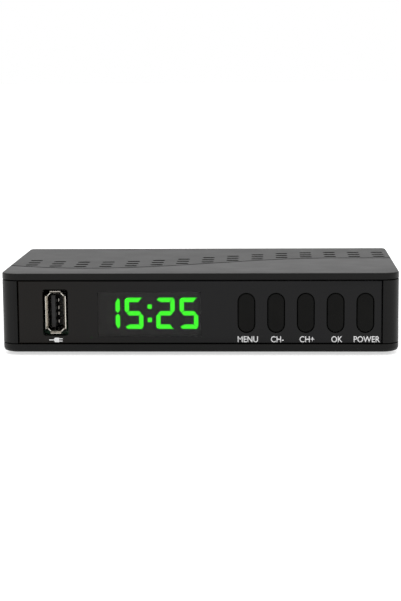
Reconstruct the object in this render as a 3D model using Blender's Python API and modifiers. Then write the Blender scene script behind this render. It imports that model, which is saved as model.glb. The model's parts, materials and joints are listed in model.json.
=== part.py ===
"""Small television receiver: a two-part moulded case with a smoked front lens, five push keys, a clock
display, a host socket at the front and a row of connectors at the rear.

Metres, +Z up. The front looks along -Y, +X is to the right seen from the front. The origin is the middle
of the whole object's box, at the height of the surface that the feet stand on.
"""

import math

import bmesh
import bpy
from mathutils import Matrix, Vector

# Case
CASE_DEPTH = 0.068
SIDE_ROOM = 0.0073
HEAD_ROOM = 0.0028
FRONT_CORNER_RADIUS = 0.0055
REAR_CORNER_RADIUS = 0.0016
WALL = 0.0022
FLOOR = 0.0020
BASE_BAND = 0.00265
LOWER_SEAM = 0.0003
LOWER_SEAM_DEPTH = 0.0004
BASE_ROUND = 0.0011
GAP = 0.0003
OVERRUN = 0.001
LEAST_RADIUS = 0.0003
WELD = 0.000001
FLAT_ANGLE = 0.1
SHARP_ANGLE = 35

# Lid
LID_PLATE = 0.0016
LID_BAND = 0.0021
LID_RIM = 0.0010
LID_EDGE = 0.0004
LID_SEAM = 0.00035
TONGUE_INSET = 0.0013

# Wave groove on the lid: two half cosines that meet in a trough
WAVE_TROUGH_SHARE = 0.21
WAVE_TROUGH_FROM_FRONT = 0.0133
WAVE_RISE = 0.0257
WAVE_LEFT_SPAN_SHARE = 0.562
WAVE_RIGHT_SPAN_SHARE = 0.646
WAVE_GROOVE_WIDTH = 0.0012
WAVE_GROOVE_DEPTH = 0.0006
WAVE_STEPS = 36

# Ventilation slots, in rows that follow the wave
VENT_COLUMNS = 15
VENT_ROWS = 3
VENT_LEFT_MARGIN = 0.0073
VENT_RIGHT_MARGIN = 0.0040
VENT_WIDTH = 0.0042
VENT_LENGTH = 0.0022
VENT_CORNER = 0.0005
VENT_ROW_PITCH = 0.0057
VENT_BEHIND_WAVE = 0.0043
FLOOR_VENTS = 7
FLOOR_VENT_PITCH = 0.0050
FLOOR_VENT_WIDTH = 0.0016
FLOOR_VENT_LENGTH = 0.0150

# Front frame and lens
RETURN_DEPTH = 0.0090
LENS_THICKNESS = 0.0015
LENS_CHAMFER = 0.0003
FRAME_WALL = 0.0016
UPSTAND_HEIGHT = 0.0024
UPSTAND_THICKNESS = 0.0012

# Keys, each a cap with a flange and a stem that meets its switch
KEY_NAMES = ("menu", "channel_down", "channel_up", "ok", "power")
KEY_PITCH = 0.00962
KEY_LAST_FROM_SIDE = 0.01116
KEY_DROP = 0.00025
KEY_HOLE_WIDTH = 0.0058
KEY_HOLE_HEIGHT = 0.0132
KEY_PROUD = 0.0002
KEY_EDGE = 0.00035
KEY_FLANGE_MARGIN = 0.0006
KEY_FLANGE_THICKNESS = 0.0010
KEY_STEM_RADIUS = 0.0012
KEY_STEM_LENGTH = 0.0010
SWITCH_SIDE = 0.0060
SWITCH_DEPTH = 0.0035
SWITCH_BORE_DEPTH = 0.0018
PLUNGER_RADIUS = 0.00175
PLUNGER_LENGTH = 0.0019
PLUNGER_PROUD = 0.0010

# Front board and what it carries
FRONT_BOARD_THICKNESS = 0.0012
FRONT_BOARD_FROM_SIDE = 0.0030
FRONT_BOSS_RADIUS = 0.0017
SMALL_SCREW_RADIUS = 0.0007
SMALL_SCREW_HEAD_RADIUS = 0.0014
SMALL_SCREW_HEAD = 0.0009
FRONT_BOSS_FROM_END = 0.0023

# Clock display: digits of seven segments and a colon
DISPLAY_PLACE_SHARE = 0.486
DISPLAY_DROP = 0.00065
DISPLAY_MARGIN_ACROSS = 0.00100
DISPLAY_MARGIN_UP = 0.00225
DIGIT_WIDTH = 0.0060
DIGIT_HEIGHT = 0.0101
DIGIT_PITCH = 0.00768
DIGIT_FROM_COLON = 0.00514
SEGMENT_WIDTH = 0.00138
SEGMENT_GAP = 0.00012
SEGMENT_RELIEF = 0.0004
COLON_SIDE = 0.00135
COLON_SPREAD = 0.00435
IR_WIDTH = 0.0046
IR_HEIGHT = 0.0066
IR_DEPTH = 0.0036
IR_DOME_RADIUS = 0.0018

# Host socket at the front, standing on its side
USB_FROM_SIDE = 0.0180
USB_WIDTH = 0.0057
USB_HEIGHT = 0.0131
USB_DEPTH = 0.0132
USB_SHEET = 0.0003
USB_CORNER = 0.0011
USB_LIP_LENGTH = 0.0008
USB_LIP_FLARE = 0.0006
USB_SETBACK = 0.0004
USB_CUTOUT_ROOM_ACROSS = 0.0007
USB_CUTOUT_ROOM_UP = 0.0005
USB_CUTOUT_CORNER = 0.0008
USB_TONGUE_FROM_SIDE = 0.0009
USB_TONGUE_THICKNESS = 0.0013
USB_TONGUE_ROOM = 0.00065
USB_TONGUE_SETBACK = 0.0018
USB_BLOCK_DEPTH = 0.0030
USB_CONTACT_WIDTH = 0.0010
USB_CONTACT_THICKNESS = 0.0003
USB_CONTACT_LENGTH = 0.0066
USB_CONTACT_SHARES = (-0.3125, -0.0893, 0.0893, 0.3125)

# Main board
BOARD_THICKNESS = 0.0016
BOARD_FRONT = 0.0131
BOARD_FROM_PANEL = 0.0015
BOARD_TAB_FRONT = 0.0053
BOARD_TAB_REACH = 0.0040
BOARD_BOSS_HEIGHT = 0.0024
BOARD_BOSS_RADIUS = 0.0025
BOARD_BOSS_FROM_SIDE = 0.0045
BOARD_BOSS_FRONT = 0.0190
BOARD_BOSS_REAR = 0.0380
BOARD_SCREW_RADIUS = 0.0013
BOARD_SCREW_HEAD_RADIUS = 0.0024
BOARD_SCREW_HEAD = 0.0016

# Case screws, from below through columns of the tray into posts of the lid
COLUMN_RADIUS = 0.0028
COLUMN_FROM_SIDE = 0.0060
COLUMN_FRONT = 0.0160
COLUMN_FROM_REAR = 0.0080
COLUMN_TOP_SHARE = 0.527
POST_BORE_ROOM = 0.0009
CASE_SCREW_RADIUS = 0.0012
CASE_SCREW_HEAD_RADIUS = 0.0024
CASE_SCREW_HEAD = 0.0010
CASE_SCREW_ROOM = 0.0022

# Feet
FOOT_RADIUS = 0.0040
FOOT_HEIGHT = 0.0010
FOOT_RECESS = 0.0005
FOOT_EDGE = 0.0003
FOOT_FROM_SIDE = 0.0125
FOOT_FROM_FRONT = 0.0120
FOOT_FROM_REAR = 0.0120

# Rear panel and the room that its connectors take
REAR_PANEL_THICKNESS = 0.0015
REAR_SILL = 0.0040
REAR_STUB = 0.0060
PANEL_RIB = 0.0012
PANEL_RIB_REACH = 0.0040
NOSE_PROUD = 0.0007
REAR_REACH = 0.0065

# Connectors along the rear edge of the main board, from the left
DC_WIDTH = 0.0090
DC_HEIGHT = 0.0105
DC_DEPTH = 0.0120
DC_COLLAR_RADIUS = 0.0041
DC_BORE_RADIUS = 0.0031
DC_BORE_DEPTH = 0.0095
DC_PIN_RADIUS = 0.00105
SCART_WIDTH = 0.0460
SCART_HEIGHT = 0.0150
SCART_DEPTH = 0.0150
SCART_GROOVE = 0.0012
SCART_GROOVE_DEPTH = 0.0065
SCART_GROOVE_WIDTH_WISE = 0.0420
SCART_GROOVE_HEIGHT_WISE = 0.0112
SCART_SLANT = 0.0040
SCART_COLUMNS = 10
SCART_COLUMN_PITCH = 0.00381
SCART_ROW_PITCH = 0.0046
SCART_SLOT_WIDTH = 0.0013
SCART_SLOT_HEIGHT = 0.0030
SCART_SLOT_DEPTH = 0.0075
SCART_CONTACT_SETBACK = 0.0025
SCART_CONTACT_SIDES = (0.0007, 0.0024)
HDMI_WIDTH = 0.0150
HDMI_HEIGHT = 0.0056
HDMI_DEPTH = 0.0112
HDMI_SHEET = 0.0004
HDMI_CORNER = 0.0015
HDMI_TONGUE_WIDTH = 0.0112
HDMI_TONGUE_THICKNESS = 0.0011
HDMI_TONGUE_SETBACK = 0.0018
HDMI_BLOCK_DEPTH = 0.0030
COAX_WIDTH = 0.0094
COAX_HEIGHT = 0.0100
COAX_DEPTH = 0.0090
COAX_BARREL_RADIUS = 0.0042
COAX_BARREL_WALL = 0.0006
COAX_BARREL_LENGTH = 0.0088
COAX_CONTACT_RADIUS = 0.0021
COAX_CONTACT_WALL = 0.0004
TUNER_WIDTH = 0.0240
TUNER_HEIGHT = 0.0130
TUNER_DEPTH = 0.0210
AERIAL_PITCH = 0.0118
AERIAL_RADIUS = 0.00475
AERIAL_WALL = 0.0007
AERIAL_COLLAR_RADIUS = 0.0056
AERIAL_COLLAR_LENGTH = 0.0012
AERIAL_INSULATOR_DEPTH = 0.0030
AERIAL_CONTACT_RADIUS = 0.0017
AERIAL_CONTACT_WALL = 0.00045
AERIAL_PIN_RADIUS = 0.00115
AERIAL_CONTACT_SETBACK = 0.0010

# Components on the main board
CHIP_SIDE = 0.0170
CHIP_HEIGHT = 0.0015
HEAT_SINK_SIDE = 0.0220
HEAT_SINK_BASE = 0.0016
HEAT_SINK_FIN = 0.0010
HEAT_SINK_FIN_HEIGHT = 0.0062
HEAT_SINK_FINS = 7
CHIP_CENTRE = (-0.0040, 0.0325)
MEMORY_SIDES = (0.0125, 0.0080)
MEMORY_HEIGHT = 0.0011
MEMORY_CENTRE = (-0.0275, 0.0300)
CRYSTAL_SIDES = (0.0102, 0.0044)
CRYSTAL_HEIGHT = 0.0036
CRYSTAL_CENTRE = (0.0180, 0.0240)
INDUCTOR_SIDE = 0.0090
INDUCTOR_HEIGHT = 0.0048
INDUCTOR_CORNER = 0.0020
INDUCTOR_CENTRE = (-0.0420, 0.0290)
CAPACITOR_RADIUS = 0.0031
CAPACITOR_HEIGHT = 0.0110
CAPACITOR_EDGE = 0.0005
CAPACITOR_PLACES = ((-0.0420, 0.0440), (-0.0330, 0.0440), (0.0165, 0.0440), (0.0250, 0.0360))
REAR_SPACING = 0.0019
HEADER_WIDTH = 0.0200
HEADER_HEIGHT = 0.0025
HEADER_DEPTH = 0.0032
HEADER_FROM_SIDE = 0.0350

# Places worked out from the sizes above. The sockets' row sets the width, the tallest socket the height.
REAR_WIDTHS = {
    "dc": DC_WIDTH,
    "scart": SCART_WIDTH,
    "hdmi": HDMI_WIDTH,
    "coax": COAX_WIDTH,
    "tuner": TUNER_WIDTH,
}
BOARD_WIDTH = sum(REAR_WIDTHS.values()) + (len(REAR_WIDTHS) - 1) * REAR_SPACING
BOARD_HALF_WIDTH = BOARD_WIDTH / 2
CASE_WIDTH = BOARD_WIDTH + 2 * (WALL + SIDE_ROOM)
BOARD_STACK = FLOOR + BOARD_BOSS_HEIGHT + GAP + BOARD_THICKNESS + GAP
CASE_HEIGHT = BOARD_STACK + max(SCART_HEIGHT, USB_HEIGHT, TUNER_HEIGHT) + HEAD_ROOM + LID_PLATE
HALF_WIDTH = CASE_WIDTH / 2
FRONT = -(CASE_DEPTH + REAR_REACH - KEY_PROUD) / 2
REAR = FRONT + CASE_DEPTH
BASE = FOOT_HEIGHT
TOP = BASE + CASE_HEIGHT
PLATE_LOW = TOP - LID_PLATE
LID_LOW = TOP - LID_BAND
BODY_TOP = LID_LOW - LID_SEAM
TONGUE_TOP = PLATE_LOW - GAP
BAND_TOP = BASE + BASE_BAND
PANEL_LOW = BAND_TOP + LOWER_SEAM
FLOOR_TOP = BASE + FLOOR
LENS_BACK = FRONT + LENS_THICKNESS
FRAME_FRONT = LENS_BACK + GAP
FRAME_BACK = FRAME_FRONT + FRAME_WALL
LENS_HALF = HALF_WIDTH - FRONT_CORNER_RADIUS - GAP
LENS_MIDDLE = (PANEL_LOW + BODY_TOP) / 2
KEY_HEIGHT = LENS_MIDDLE - KEY_DROP
KEY_FLANGE_HALF = KEY_HOLE_WIDTH / 2 + KEY_FLANGE_MARGIN
KEY_ROW_CENTRE = HALF_WIDTH - KEY_LAST_FROM_SIDE - (len(KEY_NAMES) - 1) / 2 * KEY_PITCH
KEY_ROW_LEFT = KEY_ROW_CENTRE - (len(KEY_NAMES) - 1) / 2 * KEY_PITCH - max(KEY_FLANGE_HALF, SWITCH_SIDE / 2)
FLANGE_FRONT = FRAME_BACK + GAP
FLANGE_BACK = FLANGE_FRONT + KEY_FLANGE_THICKNESS
STEM_BACK = FLANGE_BACK + KEY_STEM_LENGTH
PLUNGER_FRONT = STEM_BACK + GAP
SWITCH_FRONT = PLUNGER_FRONT + PLUNGER_PROUD
SWITCH_BACK = SWITCH_FRONT + SWITCH_DEPTH
FRONT_BOARD_FACE = SWITCH_BACK + GAP
FRONT_BOARD_BACK = FRONT_BOARD_FACE + FRONT_BOARD_THICKNESS
SEGMENT_FRONT = LENS_BACK + GAP
DISPLAY_FACE = SEGMENT_FRONT + SEGMENT_RELIEF
DISPLAY_BACK = FRONT_BOARD_FACE - GAP
BOARD_LOW = FLOOR_TOP + BOARD_BOSS_HEIGHT + GAP
BOARD_TOP = BOARD_LOW + BOARD_THICKNESS
SEAT = BOARD_TOP + GAP
USB_FRONT = FRONT + USB_SETBACK
USB_CENTRE = -HALF_WIDTH + USB_FROM_SIDE
USB_CENTRE_HEIGHT = SEAT + USB_HEIGHT / 2
USB_CUTOUT_WIDTH = USB_WIDTH + 2 * (USB_LIP_FLARE + USB_CUTOUT_ROOM_ACROSS)
USB_CUTOUT_HEIGHT = USB_HEIGHT + 2 * (USB_LIP_FLARE + USB_CUTOUT_ROOM_UP)
USB_CUTOUT_RIGHT = USB_CENTRE + USB_CUTOUT_WIDTH / 2
DISPLAY_CENTRE = USB_CUTOUT_RIGHT + DISPLAY_PLACE_SHARE * (KEY_ROW_LEFT - USB_CUTOUT_RIGHT)
DISPLAY_HEIGHT_OVER_BASE = LENS_MIDDLE - DISPLAY_DROP
DISPLAY_WIDTH = 2 * (DIGIT_FROM_COLON + DIGIT_PITCH + DISPLAY_MARGIN_ACROSS) + DIGIT_WIDTH
DISPLAY_HEIGHT = DIGIT_HEIGHT + 2 * DISPLAY_MARGIN_UP
IR_CENTRE = (DISPLAY_CENTRE + DISPLAY_WIDTH / 2 + KEY_ROW_LEFT) / 2
FRONT_BOARD_LEFT = DISPLAY_CENTRE - DISPLAY_WIDTH / 2 - 2 * (FRONT_BOSS_FROM_END + GAP)
FRONT_BOARD_RIGHT = HALF_WIDTH - FRONT_BOARD_FROM_SIDE
FRONT_BOARD_LOW = BAND_TOP + 2 * GAP
FRONT_BOARD_HIGH = TONGUE_TOP - 2 * GAP
FRONT_BOSS_PLACES = {
    "left": (FRONT_BOARD_LEFT + FRONT_BOSS_FROM_END, LENS_MIDDLE),
    "right": (FRONT_BOARD_RIGHT - FRONT_BOSS_FROM_END, LENS_MIDDLE),
}
PANEL_OUT = REAR - WALL - GAP
PANEL_IN = PANEL_OUT - REAR_PANEL_THICKNESS
NOSE = PANEL_OUT + NOSE_PROUD
CONNECTOR_BACK = PANEL_IN - GAP
COLUMN_TOP = COLUMN_TOP_SHARE * CASE_HEIGHT
POST_BORE_TOP = CASE_HEIGHT - LID_PLATE - POST_BORE_ROOM

TURN = {
    "X": Matrix(((0, 0, 1, 0), (1, 0, 0, 0), (0, 1, 0, 0), (0, 0, 0, 1))),
    "Y": Matrix(((1, 0, 0, 0), (0, 0, 1, 0), (0, -1, 0, 0), (0, 0, 0, 1))),
    "Z": Matrix.Identity(4),
}
FLAT_TURN = {
    "Y": Matrix(((1, 0, 0, 0), (0, 0, -1, 0), (0, 1, 0, 0), (0, 0, 0, 1))),
    "Z": Matrix.Identity(4),
}
ALONG = {"X": Vector((1, 0, 0)), "Y": Vector((0, 1, 0)), "Z": Vector((0, 0, 1))}

FINISHES = {
    "case_plastic": ((0.030, 0.030, 0.031), 0.55, 0.0),
    "smoked_lens": ((0.012, 0.012, 0.013), 0.12, 0.0),
    "key_plastic": ((0.014, 0.014, 0.014), 0.60, 0.0),
    "black_insulation": ((0.018, 0.018, 0.019), 0.45, 0.0),
    "white_insulation": ((0.72, 0.71, 0.67), 0.45, 0.0),
    "nickel_plate": ((0.72, 0.69, 0.63), 0.28, 1.0),
    "tin_plate": ((0.66, 0.66, 0.65), 0.38, 1.0),
    "steel": ((0.45, 0.45, 0.46), 0.35, 1.0),
    "board_laminate": ((0.020, 0.130, 0.050), 0.45, 0.0),
    "rubber": ((0.020, 0.020, 0.020), 0.85, 0.0),
    "chip_resin": ((0.025, 0.025, 0.027), 0.50, 0.0),
    "anodised": ((0.55, 0.55, 0.56), 0.42, 1.0),
}


def clear_scene():
    for obj in list(bpy.data.objects):
        bpy.data.objects.remove(obj)


def new_collection(name):
    collection = bpy.data.collections.new(name)
    bpy.context.scene.collection.children.link(collection)
    return collection


def finish_of(name):
    """The finish's material, made the first time it is asked for."""
    material = bpy.data.materials.get(name)
    if material is None:
        colour, roughness, metallic = FINISHES[name]
        material = bpy.data.materials.new(name)
        material.use_nodes = True
        shader = material.node_tree.nodes["Principled BSDF"]
        shader.inputs["Base Color"].default_value = (*colour, 1)
        shader.inputs["Roughness"].default_value = roughness
        shader.inputs["Metallic"].default_value = metallic
    return material


def add_part(name, mesh, finish, place=(0, 0, 0), parent=None):
    """Puts a mesh into the part's collection, at a place and under a parent."""
    mesh.shade_smooth()
    mesh.set_sharp_from_angle(angle=math.radians(SHARP_ANGLE))
    part = bpy.data.objects.new(name, mesh)
    part.data.materials.append(finish_of(finish))
    PARTS.objects.link(part)
    part.parent = parent
    part.location = place
    return part


def add_cutter(name, mesh):
    cutter = bpy.data.objects.new(name, mesh)
    CUTTERS.objects.link(cutter)
    cutter.hide_render = True
    cutter.display_type = "WIRE"
    return cutter


def shape(part, meshes, operation):
    """Cuts the meshes from a part, or joins them to it."""
    for mesh in meshes:
        modifier = part.modifiers.new(mesh.name, "BOOLEAN")
        modifier.operation = operation
        modifier.solver = "EXACT"
        modifier.object = add_cutter(mesh.name, mesh)


def cut(part, *meshes):
    shape(part, meshes, "DIFFERENCE")


def join(part, *meshes):
    shape(part, meshes, "UNION")


def settle(mesh):
    """Welds a mesh's caps, drops the edges inside flat faces and turns the faces outward."""
    work = bmesh.new()
    work.from_mesh(mesh)
    bmesh.ops.remove_doubles(work, verts=work.verts, dist=WELD)
    bmesh.ops.dissolve_degenerate(work, edges=work.edges, dist=WELD)
    bmesh.ops.dissolve_limit(work, angle_limit=math.radians(FLAT_ANGLE), verts=work.verts, edges=work.edges)
    bmesh.ops.recalc_face_normals(work, faces=work.faces)
    work.to_mesh(mesh)
    work.free()
    return mesh


def evaluated(name, obj):
    """A mesh of the object as its modifiers leave it, in world places. The object is removed."""
    bpy.context.view_layer.update()
    graph = bpy.context.evaluated_depsgraph_get()
    mesh = bpy.data.meshes.new_from_object(obj.evaluated_get(graph))
    mesh.name = name
    mesh.transform(obj.matrix_world)
    bpy.data.objects.remove(obj)
    return settle(mesh)


def prism(name, outlines, low, high, axis="Z"):
    """A flat outline with its holes, as thick as from low to high along the axis."""
    curve = bpy.data.curves.new(name, "CURVE")
    curve.dimensions = "2D"
    curve.fill_mode = "BOTH"
    curve.extrude = (high - low) / 2
    for outline in outlines:
        spline = curve.splines.new("POLY")
        spline.points.add(len(outline) - 1)
        for point, (across, along) in zip(spline.points, outline):
            point.co = (across, along, 0, 1)
        spline.use_cyclic_u = True
    flat = bpy.data.objects.new(name, curve)
    PARTS.objects.link(flat)
    flat.matrix_world = Matrix.Translation(ALONG[axis] * (low + high) / 2) @ FLAT_TURN[axis]
    return evaluated(name, flat)


def box(name, low, high):
    """A block between two corners."""
    low, high = Vector(low), Vector(high)
    work = bmesh.new()
    bmesh.ops.create_cube(work, size=1)
    bmesh.ops.scale(work, vec=high - low, verts=work.verts)
    bmesh.ops.translate(work, vec=(low + high) / 2, verts=work.verts)
    mesh = bpy.data.meshes.new(name)
    work.to_mesh(mesh)
    work.free()
    return mesh


def rod(name, radius, centre, low, high, axis="Z", sides=16):
    """A cylinder from low to high along the axis, round a centre in the plane across it."""
    work = bmesh.new()
    bmesh.ops.create_cone(
        work, cap_ends=True, segments=sides, radius1=radius, radius2=radius, depth=high - low
    )
    across = {"X": (0, *centre), "Y": (centre[0], 0, centre[1]), "Z": (*centre, 0)}[axis]
    place = Vector(across) + ALONG[axis] * (low + high) / 2
    bmesh.ops.transform(work, matrix=Matrix.Translation(place) @ TURN[axis], verts=work.verts)
    mesh = bpy.data.meshes.new(name)
    work.to_mesh(mesh)
    work.free()
    return mesh


def turned(name, profile, axis="Z", sides=20):
    """A profile of (radius, height) points turned about the axis. It runs down its outer side."""
    mesh = bpy.data.meshes.new(name)
    ends = [(index, index + 1) for index in range(len(profile) - 1)]
    if profile[0][0] > 0:
        ends.append((len(profile) - 1, 0))
    mesh.from_pydata([(radius, 0, height) for radius, height in profile], ends, [])
    lathe = bpy.data.objects.new(name, mesh)
    PARTS.objects.link(lathe)
    screw = lathe.modifiers.new("turn", "SCREW")
    screw.steps = screw.render_steps = sides
    screw.use_merge_vertices = True
    screw.merge_threshold = 0.00001
    lathe.matrix_world = TURN[axis]
    return evaluated(name, lathe)


def together(name, meshes):
    """Several separate solids as one mesh."""
    work = bmesh.new()
    for mesh in meshes:
        work.from_mesh(mesh)
    joined = bpy.data.meshes.new(name)
    work.to_mesh(joined)
    work.free()
    for mesh in meshes:
        bpy.data.meshes.remove(mesh)
    return joined


def moved(mesh, place):
    mesh.transform(Matrix.Translation(Vector(place)))
    return mesh


def soften(mesh, width, segments, picked):
    """Bevels the edges whose two ends picked accepts."""
    work = bmesh.new()
    work.from_mesh(mesh)
    edges = [edge for edge in work.edges if all(picked(end.co) for end in edge.verts)]
    bmesh.ops.bevel(
        work,
        geom=edges,
        offset=width,
        offset_type="OFFSET",
        segments=segments,
        profile=0.5,
        affect="EDGES",
        clamp_overlap=True,
        material=-1,
    )
    work.to_mesh(mesh)
    work.free()
    return mesh


def arc(centre, radius, start, end, steps):
    """Points on a quarter or other part of a circle, angles in degrees."""
    angles = [math.radians(start + (end - start) * step / steps) for step in range(steps + 1)]
    return [(centre[0] + radius * math.cos(a), centre[1] + radius * math.sin(a)) for a in angles]


def rounded(left, low, right, high, low_radius, high_radius=None, low_steps=4, high_steps=None):
    """A rectangle with round corners, anticlockwise from its lower left."""
    high_radius = low_radius if high_radius is None else high_radius
    high_steps = low_steps if high_steps is None else high_steps
    return [
        *arc((left + low_radius, low + low_radius), low_radius, 180, 270, low_steps),
        *arc((right - low_radius, low + low_radius), low_radius, 270, 360, low_steps),
        *arc((right - high_radius, high - high_radius), high_radius, 0, 90, high_steps),
        *arc((left + high_radius, high - high_radius), high_radius, 90, 180, high_steps),
    ]


def rectangle(left, low, right, high):
    return [(left, low), (right, low), (right, high), (left, high)]


def around(centre, width, height):
    """The left, low, right and high of a rectangle about a centre."""
    across, up = centre
    return across - width / 2, up - height / 2, across + width / 2, up + height / 2


def stadium(centre, width, height, steps=5):
    """A slot with round ends, upright."""
    across, up = centre
    radius = width / 2
    straight = height / 2 - radius
    return [
        *arc((across, up + straight), radius, 0, 180, 2 * steps),
        *arc((across, up - straight), radius, 180, 360, 2 * steps),
    ]


def circle(centre, radius, sides=20):
    return arc(centre, radius, 0, 360 - 360 / sides, sides - 1)


def footprint(inset=0.0):
    """The case's outline in plan, drawn in by the inset."""
    front_radius = max(FRONT_CORNER_RADIUS - inset, LEAST_RADIUS)
    rear_radius = max(REAR_CORNER_RADIUS - inset, LEAST_RADIUS)
    side = HALF_WIDTH - inset
    return rounded(-side, FRONT + inset, side, REAR - inset, front_radius, rear_radius, 7, 2)


def wave_at(from_left):
    """How far the wave lies behind the front, at a distance from the case's left side."""
    along = from_left / CASE_WIDTH - WAVE_TROUGH_SHARE
    span = WAVE_RIGHT_SPAN_SHARE if along > 0 else WAVE_LEFT_SPAN_SHARE
    turn = min(abs(along) / span, 1)
    return WAVE_TROUGH_FROM_FRONT + WAVE_RISE * (1 - math.cos(math.pi * turn)) / 2


def key_places():
    middle = (len(KEY_NAMES) - 1) / 2
    return [KEY_ROW_CENTRE + (index - middle) * KEY_PITCH for index in range(len(KEY_NAMES))]


def rear_row():
    """The middle of each rear connector, from the board's left end."""
    places, left = {}, -BOARD_HALF_WIDTH
    for name, width in REAR_WIDTHS.items():
        places[name] = left + width / 2
        left += width + REAR_SPACING
    return places


def corners(across, near, far):
    """Four places in plan, named for the corners they are at."""
    return {
        "front_left": (-across, near),
        "front_right": (across, near),
        "rear_left": (-across, far),
        "rear_right": (across, far),
    }


def column_places():
    return corners(HALF_WIDTH - COLUMN_FROM_SIDE, FRONT + COLUMN_FRONT, REAR - COLUMN_FROM_REAR)


def board_boss_places():
    across = BOARD_HALF_WIDTH - BOARD_BOSS_FROM_SIDE
    return corners(across, FRONT + BOARD_BOSS_FRONT, FRONT + BOARD_BOSS_REAR)


def foot_places():
    return corners(HALF_WIDTH - FOOT_FROM_SIDE, FRONT + FOOT_FROM_FRONT, REAR - FOOT_FROM_REAR)


def front_cutouts():
    """Outlines of the key holes and of the socket's cut-out, seen from the front."""
    holes = [stadium((across, KEY_HEIGHT), KEY_HOLE_WIDTH, KEY_HOLE_HEIGHT) for across in key_places()]
    cutout = around((USB_CENTRE, USB_CENTRE_HEIGHT), USB_CUTOUT_WIDTH, USB_CUTOUT_HEIGHT)
    return [*holes, rounded(*cutout, USB_CUTOUT_CORNER, low_steps=2)]


def ledge(name):
    """The ring outside the tongue, above the height where the side walls end."""
    return prism(name, [footprint(-OVERRUN), footprint(TONGUE_INSET)], BODY_TOP, TONGUE_TOP + OVERRUN)


def wave_groove(name):
    """A groove that follows the wave from side to side of the lid."""
    start, end = -OVERRUN, CASE_WIDTH + OVERRUN
    steps = [start + (end - start) * step / WAVE_STEPS for step in range(WAVE_STEPS + 1)]
    middle = [(-HALF_WIDTH + from_left, FRONT + wave_at(from_left)) for from_left in steps]
    near = [(across, back - WAVE_GROOVE_WIDTH / 2) for across, back in middle]
    far = [(across, back + WAVE_GROOVE_WIDTH / 2) for across, back in reversed(middle)]
    return prism(name, [near + far], TOP - WAVE_GROOVE_DEPTH, TOP + OVERRUN)


def lid_vents(name):
    """Slots through the lid, each column starting behind the wave."""
    slots = []
    pitch = (CASE_WIDTH - VENT_LEFT_MARGIN - VENT_RIGHT_MARGIN) / (VENT_COLUMNS - 1)
    for column in range(VENT_COLUMNS):
        from_left = VENT_LEFT_MARGIN + column * pitch
        first = FRONT + wave_at(from_left) + VENT_BEHIND_WAVE
        for row in range(VENT_ROWS):
            centre = (-HALF_WIDTH + from_left, first + row * VENT_ROW_PITCH)
            slots.append(rounded(*around(centre, VENT_WIDTH, VENT_LENGTH), VENT_CORNER, low_steps=1))
    return prism(name, slots, PLATE_LOW - OVERRUN, TOP + OVERRUN)


def make_top_cover():
    body = prism("top_cover", [footprint()], LID_LOW, TOP)
    soften(body, LID_EDGE, 2, lambda point: point.z > TOP - GAP)
    cover = add_part("top_cover", body, "case_plastic")
    cut(cover, prism("lid_pocket", [footprint(LID_RIM)], LID_LOW - OVERRUN, PLATE_LOW))
    cut(cover, wave_groove("wave_groove"), lid_vents("lid_vents"))
    post_low = BASE + COLUMN_TOP + GAP
    middle = (PLATE_LOW + TOP - WAVE_GROOVE_DEPTH) / 2
    places = column_places().values()
    posts = [rod("post", COLUMN_RADIUS, centre, post_low, middle) for centre in places]
    join(cover, together("lid_posts", posts))
    bore = CASE_SCREW_RADIUS + GAP
    bore_low, bore_high = post_low - OVERRUN, BASE + POST_BORE_TOP
    bores = [rod("bore", bore, centre, bore_low, bore_high) for centre in places]
    cut(cover, together("lid_post_bores", bores))


def make_bottom_tray():
    body = prism("bottom_tray", [footprint()], BASE, TONGUE_TOP)
    soften(body, BASE_ROUND, 2, lambda point: point.z < BASE + GAP)
    tray = add_part("bottom_tray", body, "case_plastic")
    cut(tray, prism("tray_pocket", [footprint(WALL)], FLOOR_TOP, TONGUE_TOP + OVERRUN))
    cut(tray, ledge("tray_ledge"))
    past = HALF_WIDTH + OVERRUN
    frame_end = FRONT + RETURN_DEPTH + GAP
    cut(tray, box("tray_front", (-past, FRONT - OVERRUN, BAND_TOP), (past, frame_end, TOP)))
    cut(tray, prism("lower_seam", [footprint(-OVERRUN), footprint(LOWER_SEAM_DEPTH)], BAND_TOP, PANEL_LOW))
    window = HALF_WIDTH - REAR_STUB
    inside = REAR - WALL - OVERRUN
    cut(tray, box("rear_window", (-window, inside, BASE + REAR_SILL), (window, REAR + OVERRUN, TOP)))
    join(tray, tray_fittings("tray_fittings"))
    cut(tray, tray_bores("tray_bores"), floor_vents("floor_vents"), foot_recesses("foot_recesses"))


def tray_fittings(name):
    """Columns, board bosses, the upstand behind the front frame and the ribs that hold the rear panel."""
    root = BASE + FLOOR / 2
    column_top = BASE + COLUMN_TOP
    places = column_places().values()
    columns = [rod("column", COLUMN_RADIUS, centre, root, column_top) for centre in places]
    boss_top = FLOOR_TOP + BOARD_BOSS_HEIGHT
    boss_places = board_boss_places().values()
    bosses = [rod("boss", BOARD_BOSS_RADIUS, centre, root, boss_top) for centre in boss_places]
    side = HALF_WIDTH - FRONT_CORNER_RADIUS
    upstand = box(
        "upstand",
        (-side, FLANGE_FRONT, root),
        (side, FLANGE_FRONT + UPSTAND_THICKNESS, FLOOR_TOP + UPSTAND_HEIGHT),
    )
    ribs = []
    rib_back = PANEL_IN - GAP
    wall_face = HALF_WIDTH - WALL
    for across in (-1, 1):
        ends = sorted((across * (wall_face - PANEL_RIB_REACH), across * (wall_face + GAP)))
        low = (ends[0], rib_back - PANEL_RIB, root)
        ribs.append(box("rib", low, (ends[1], rib_back, column_top)))
    return united(name, [*columns, *bosses, upstand, *ribs])


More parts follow.
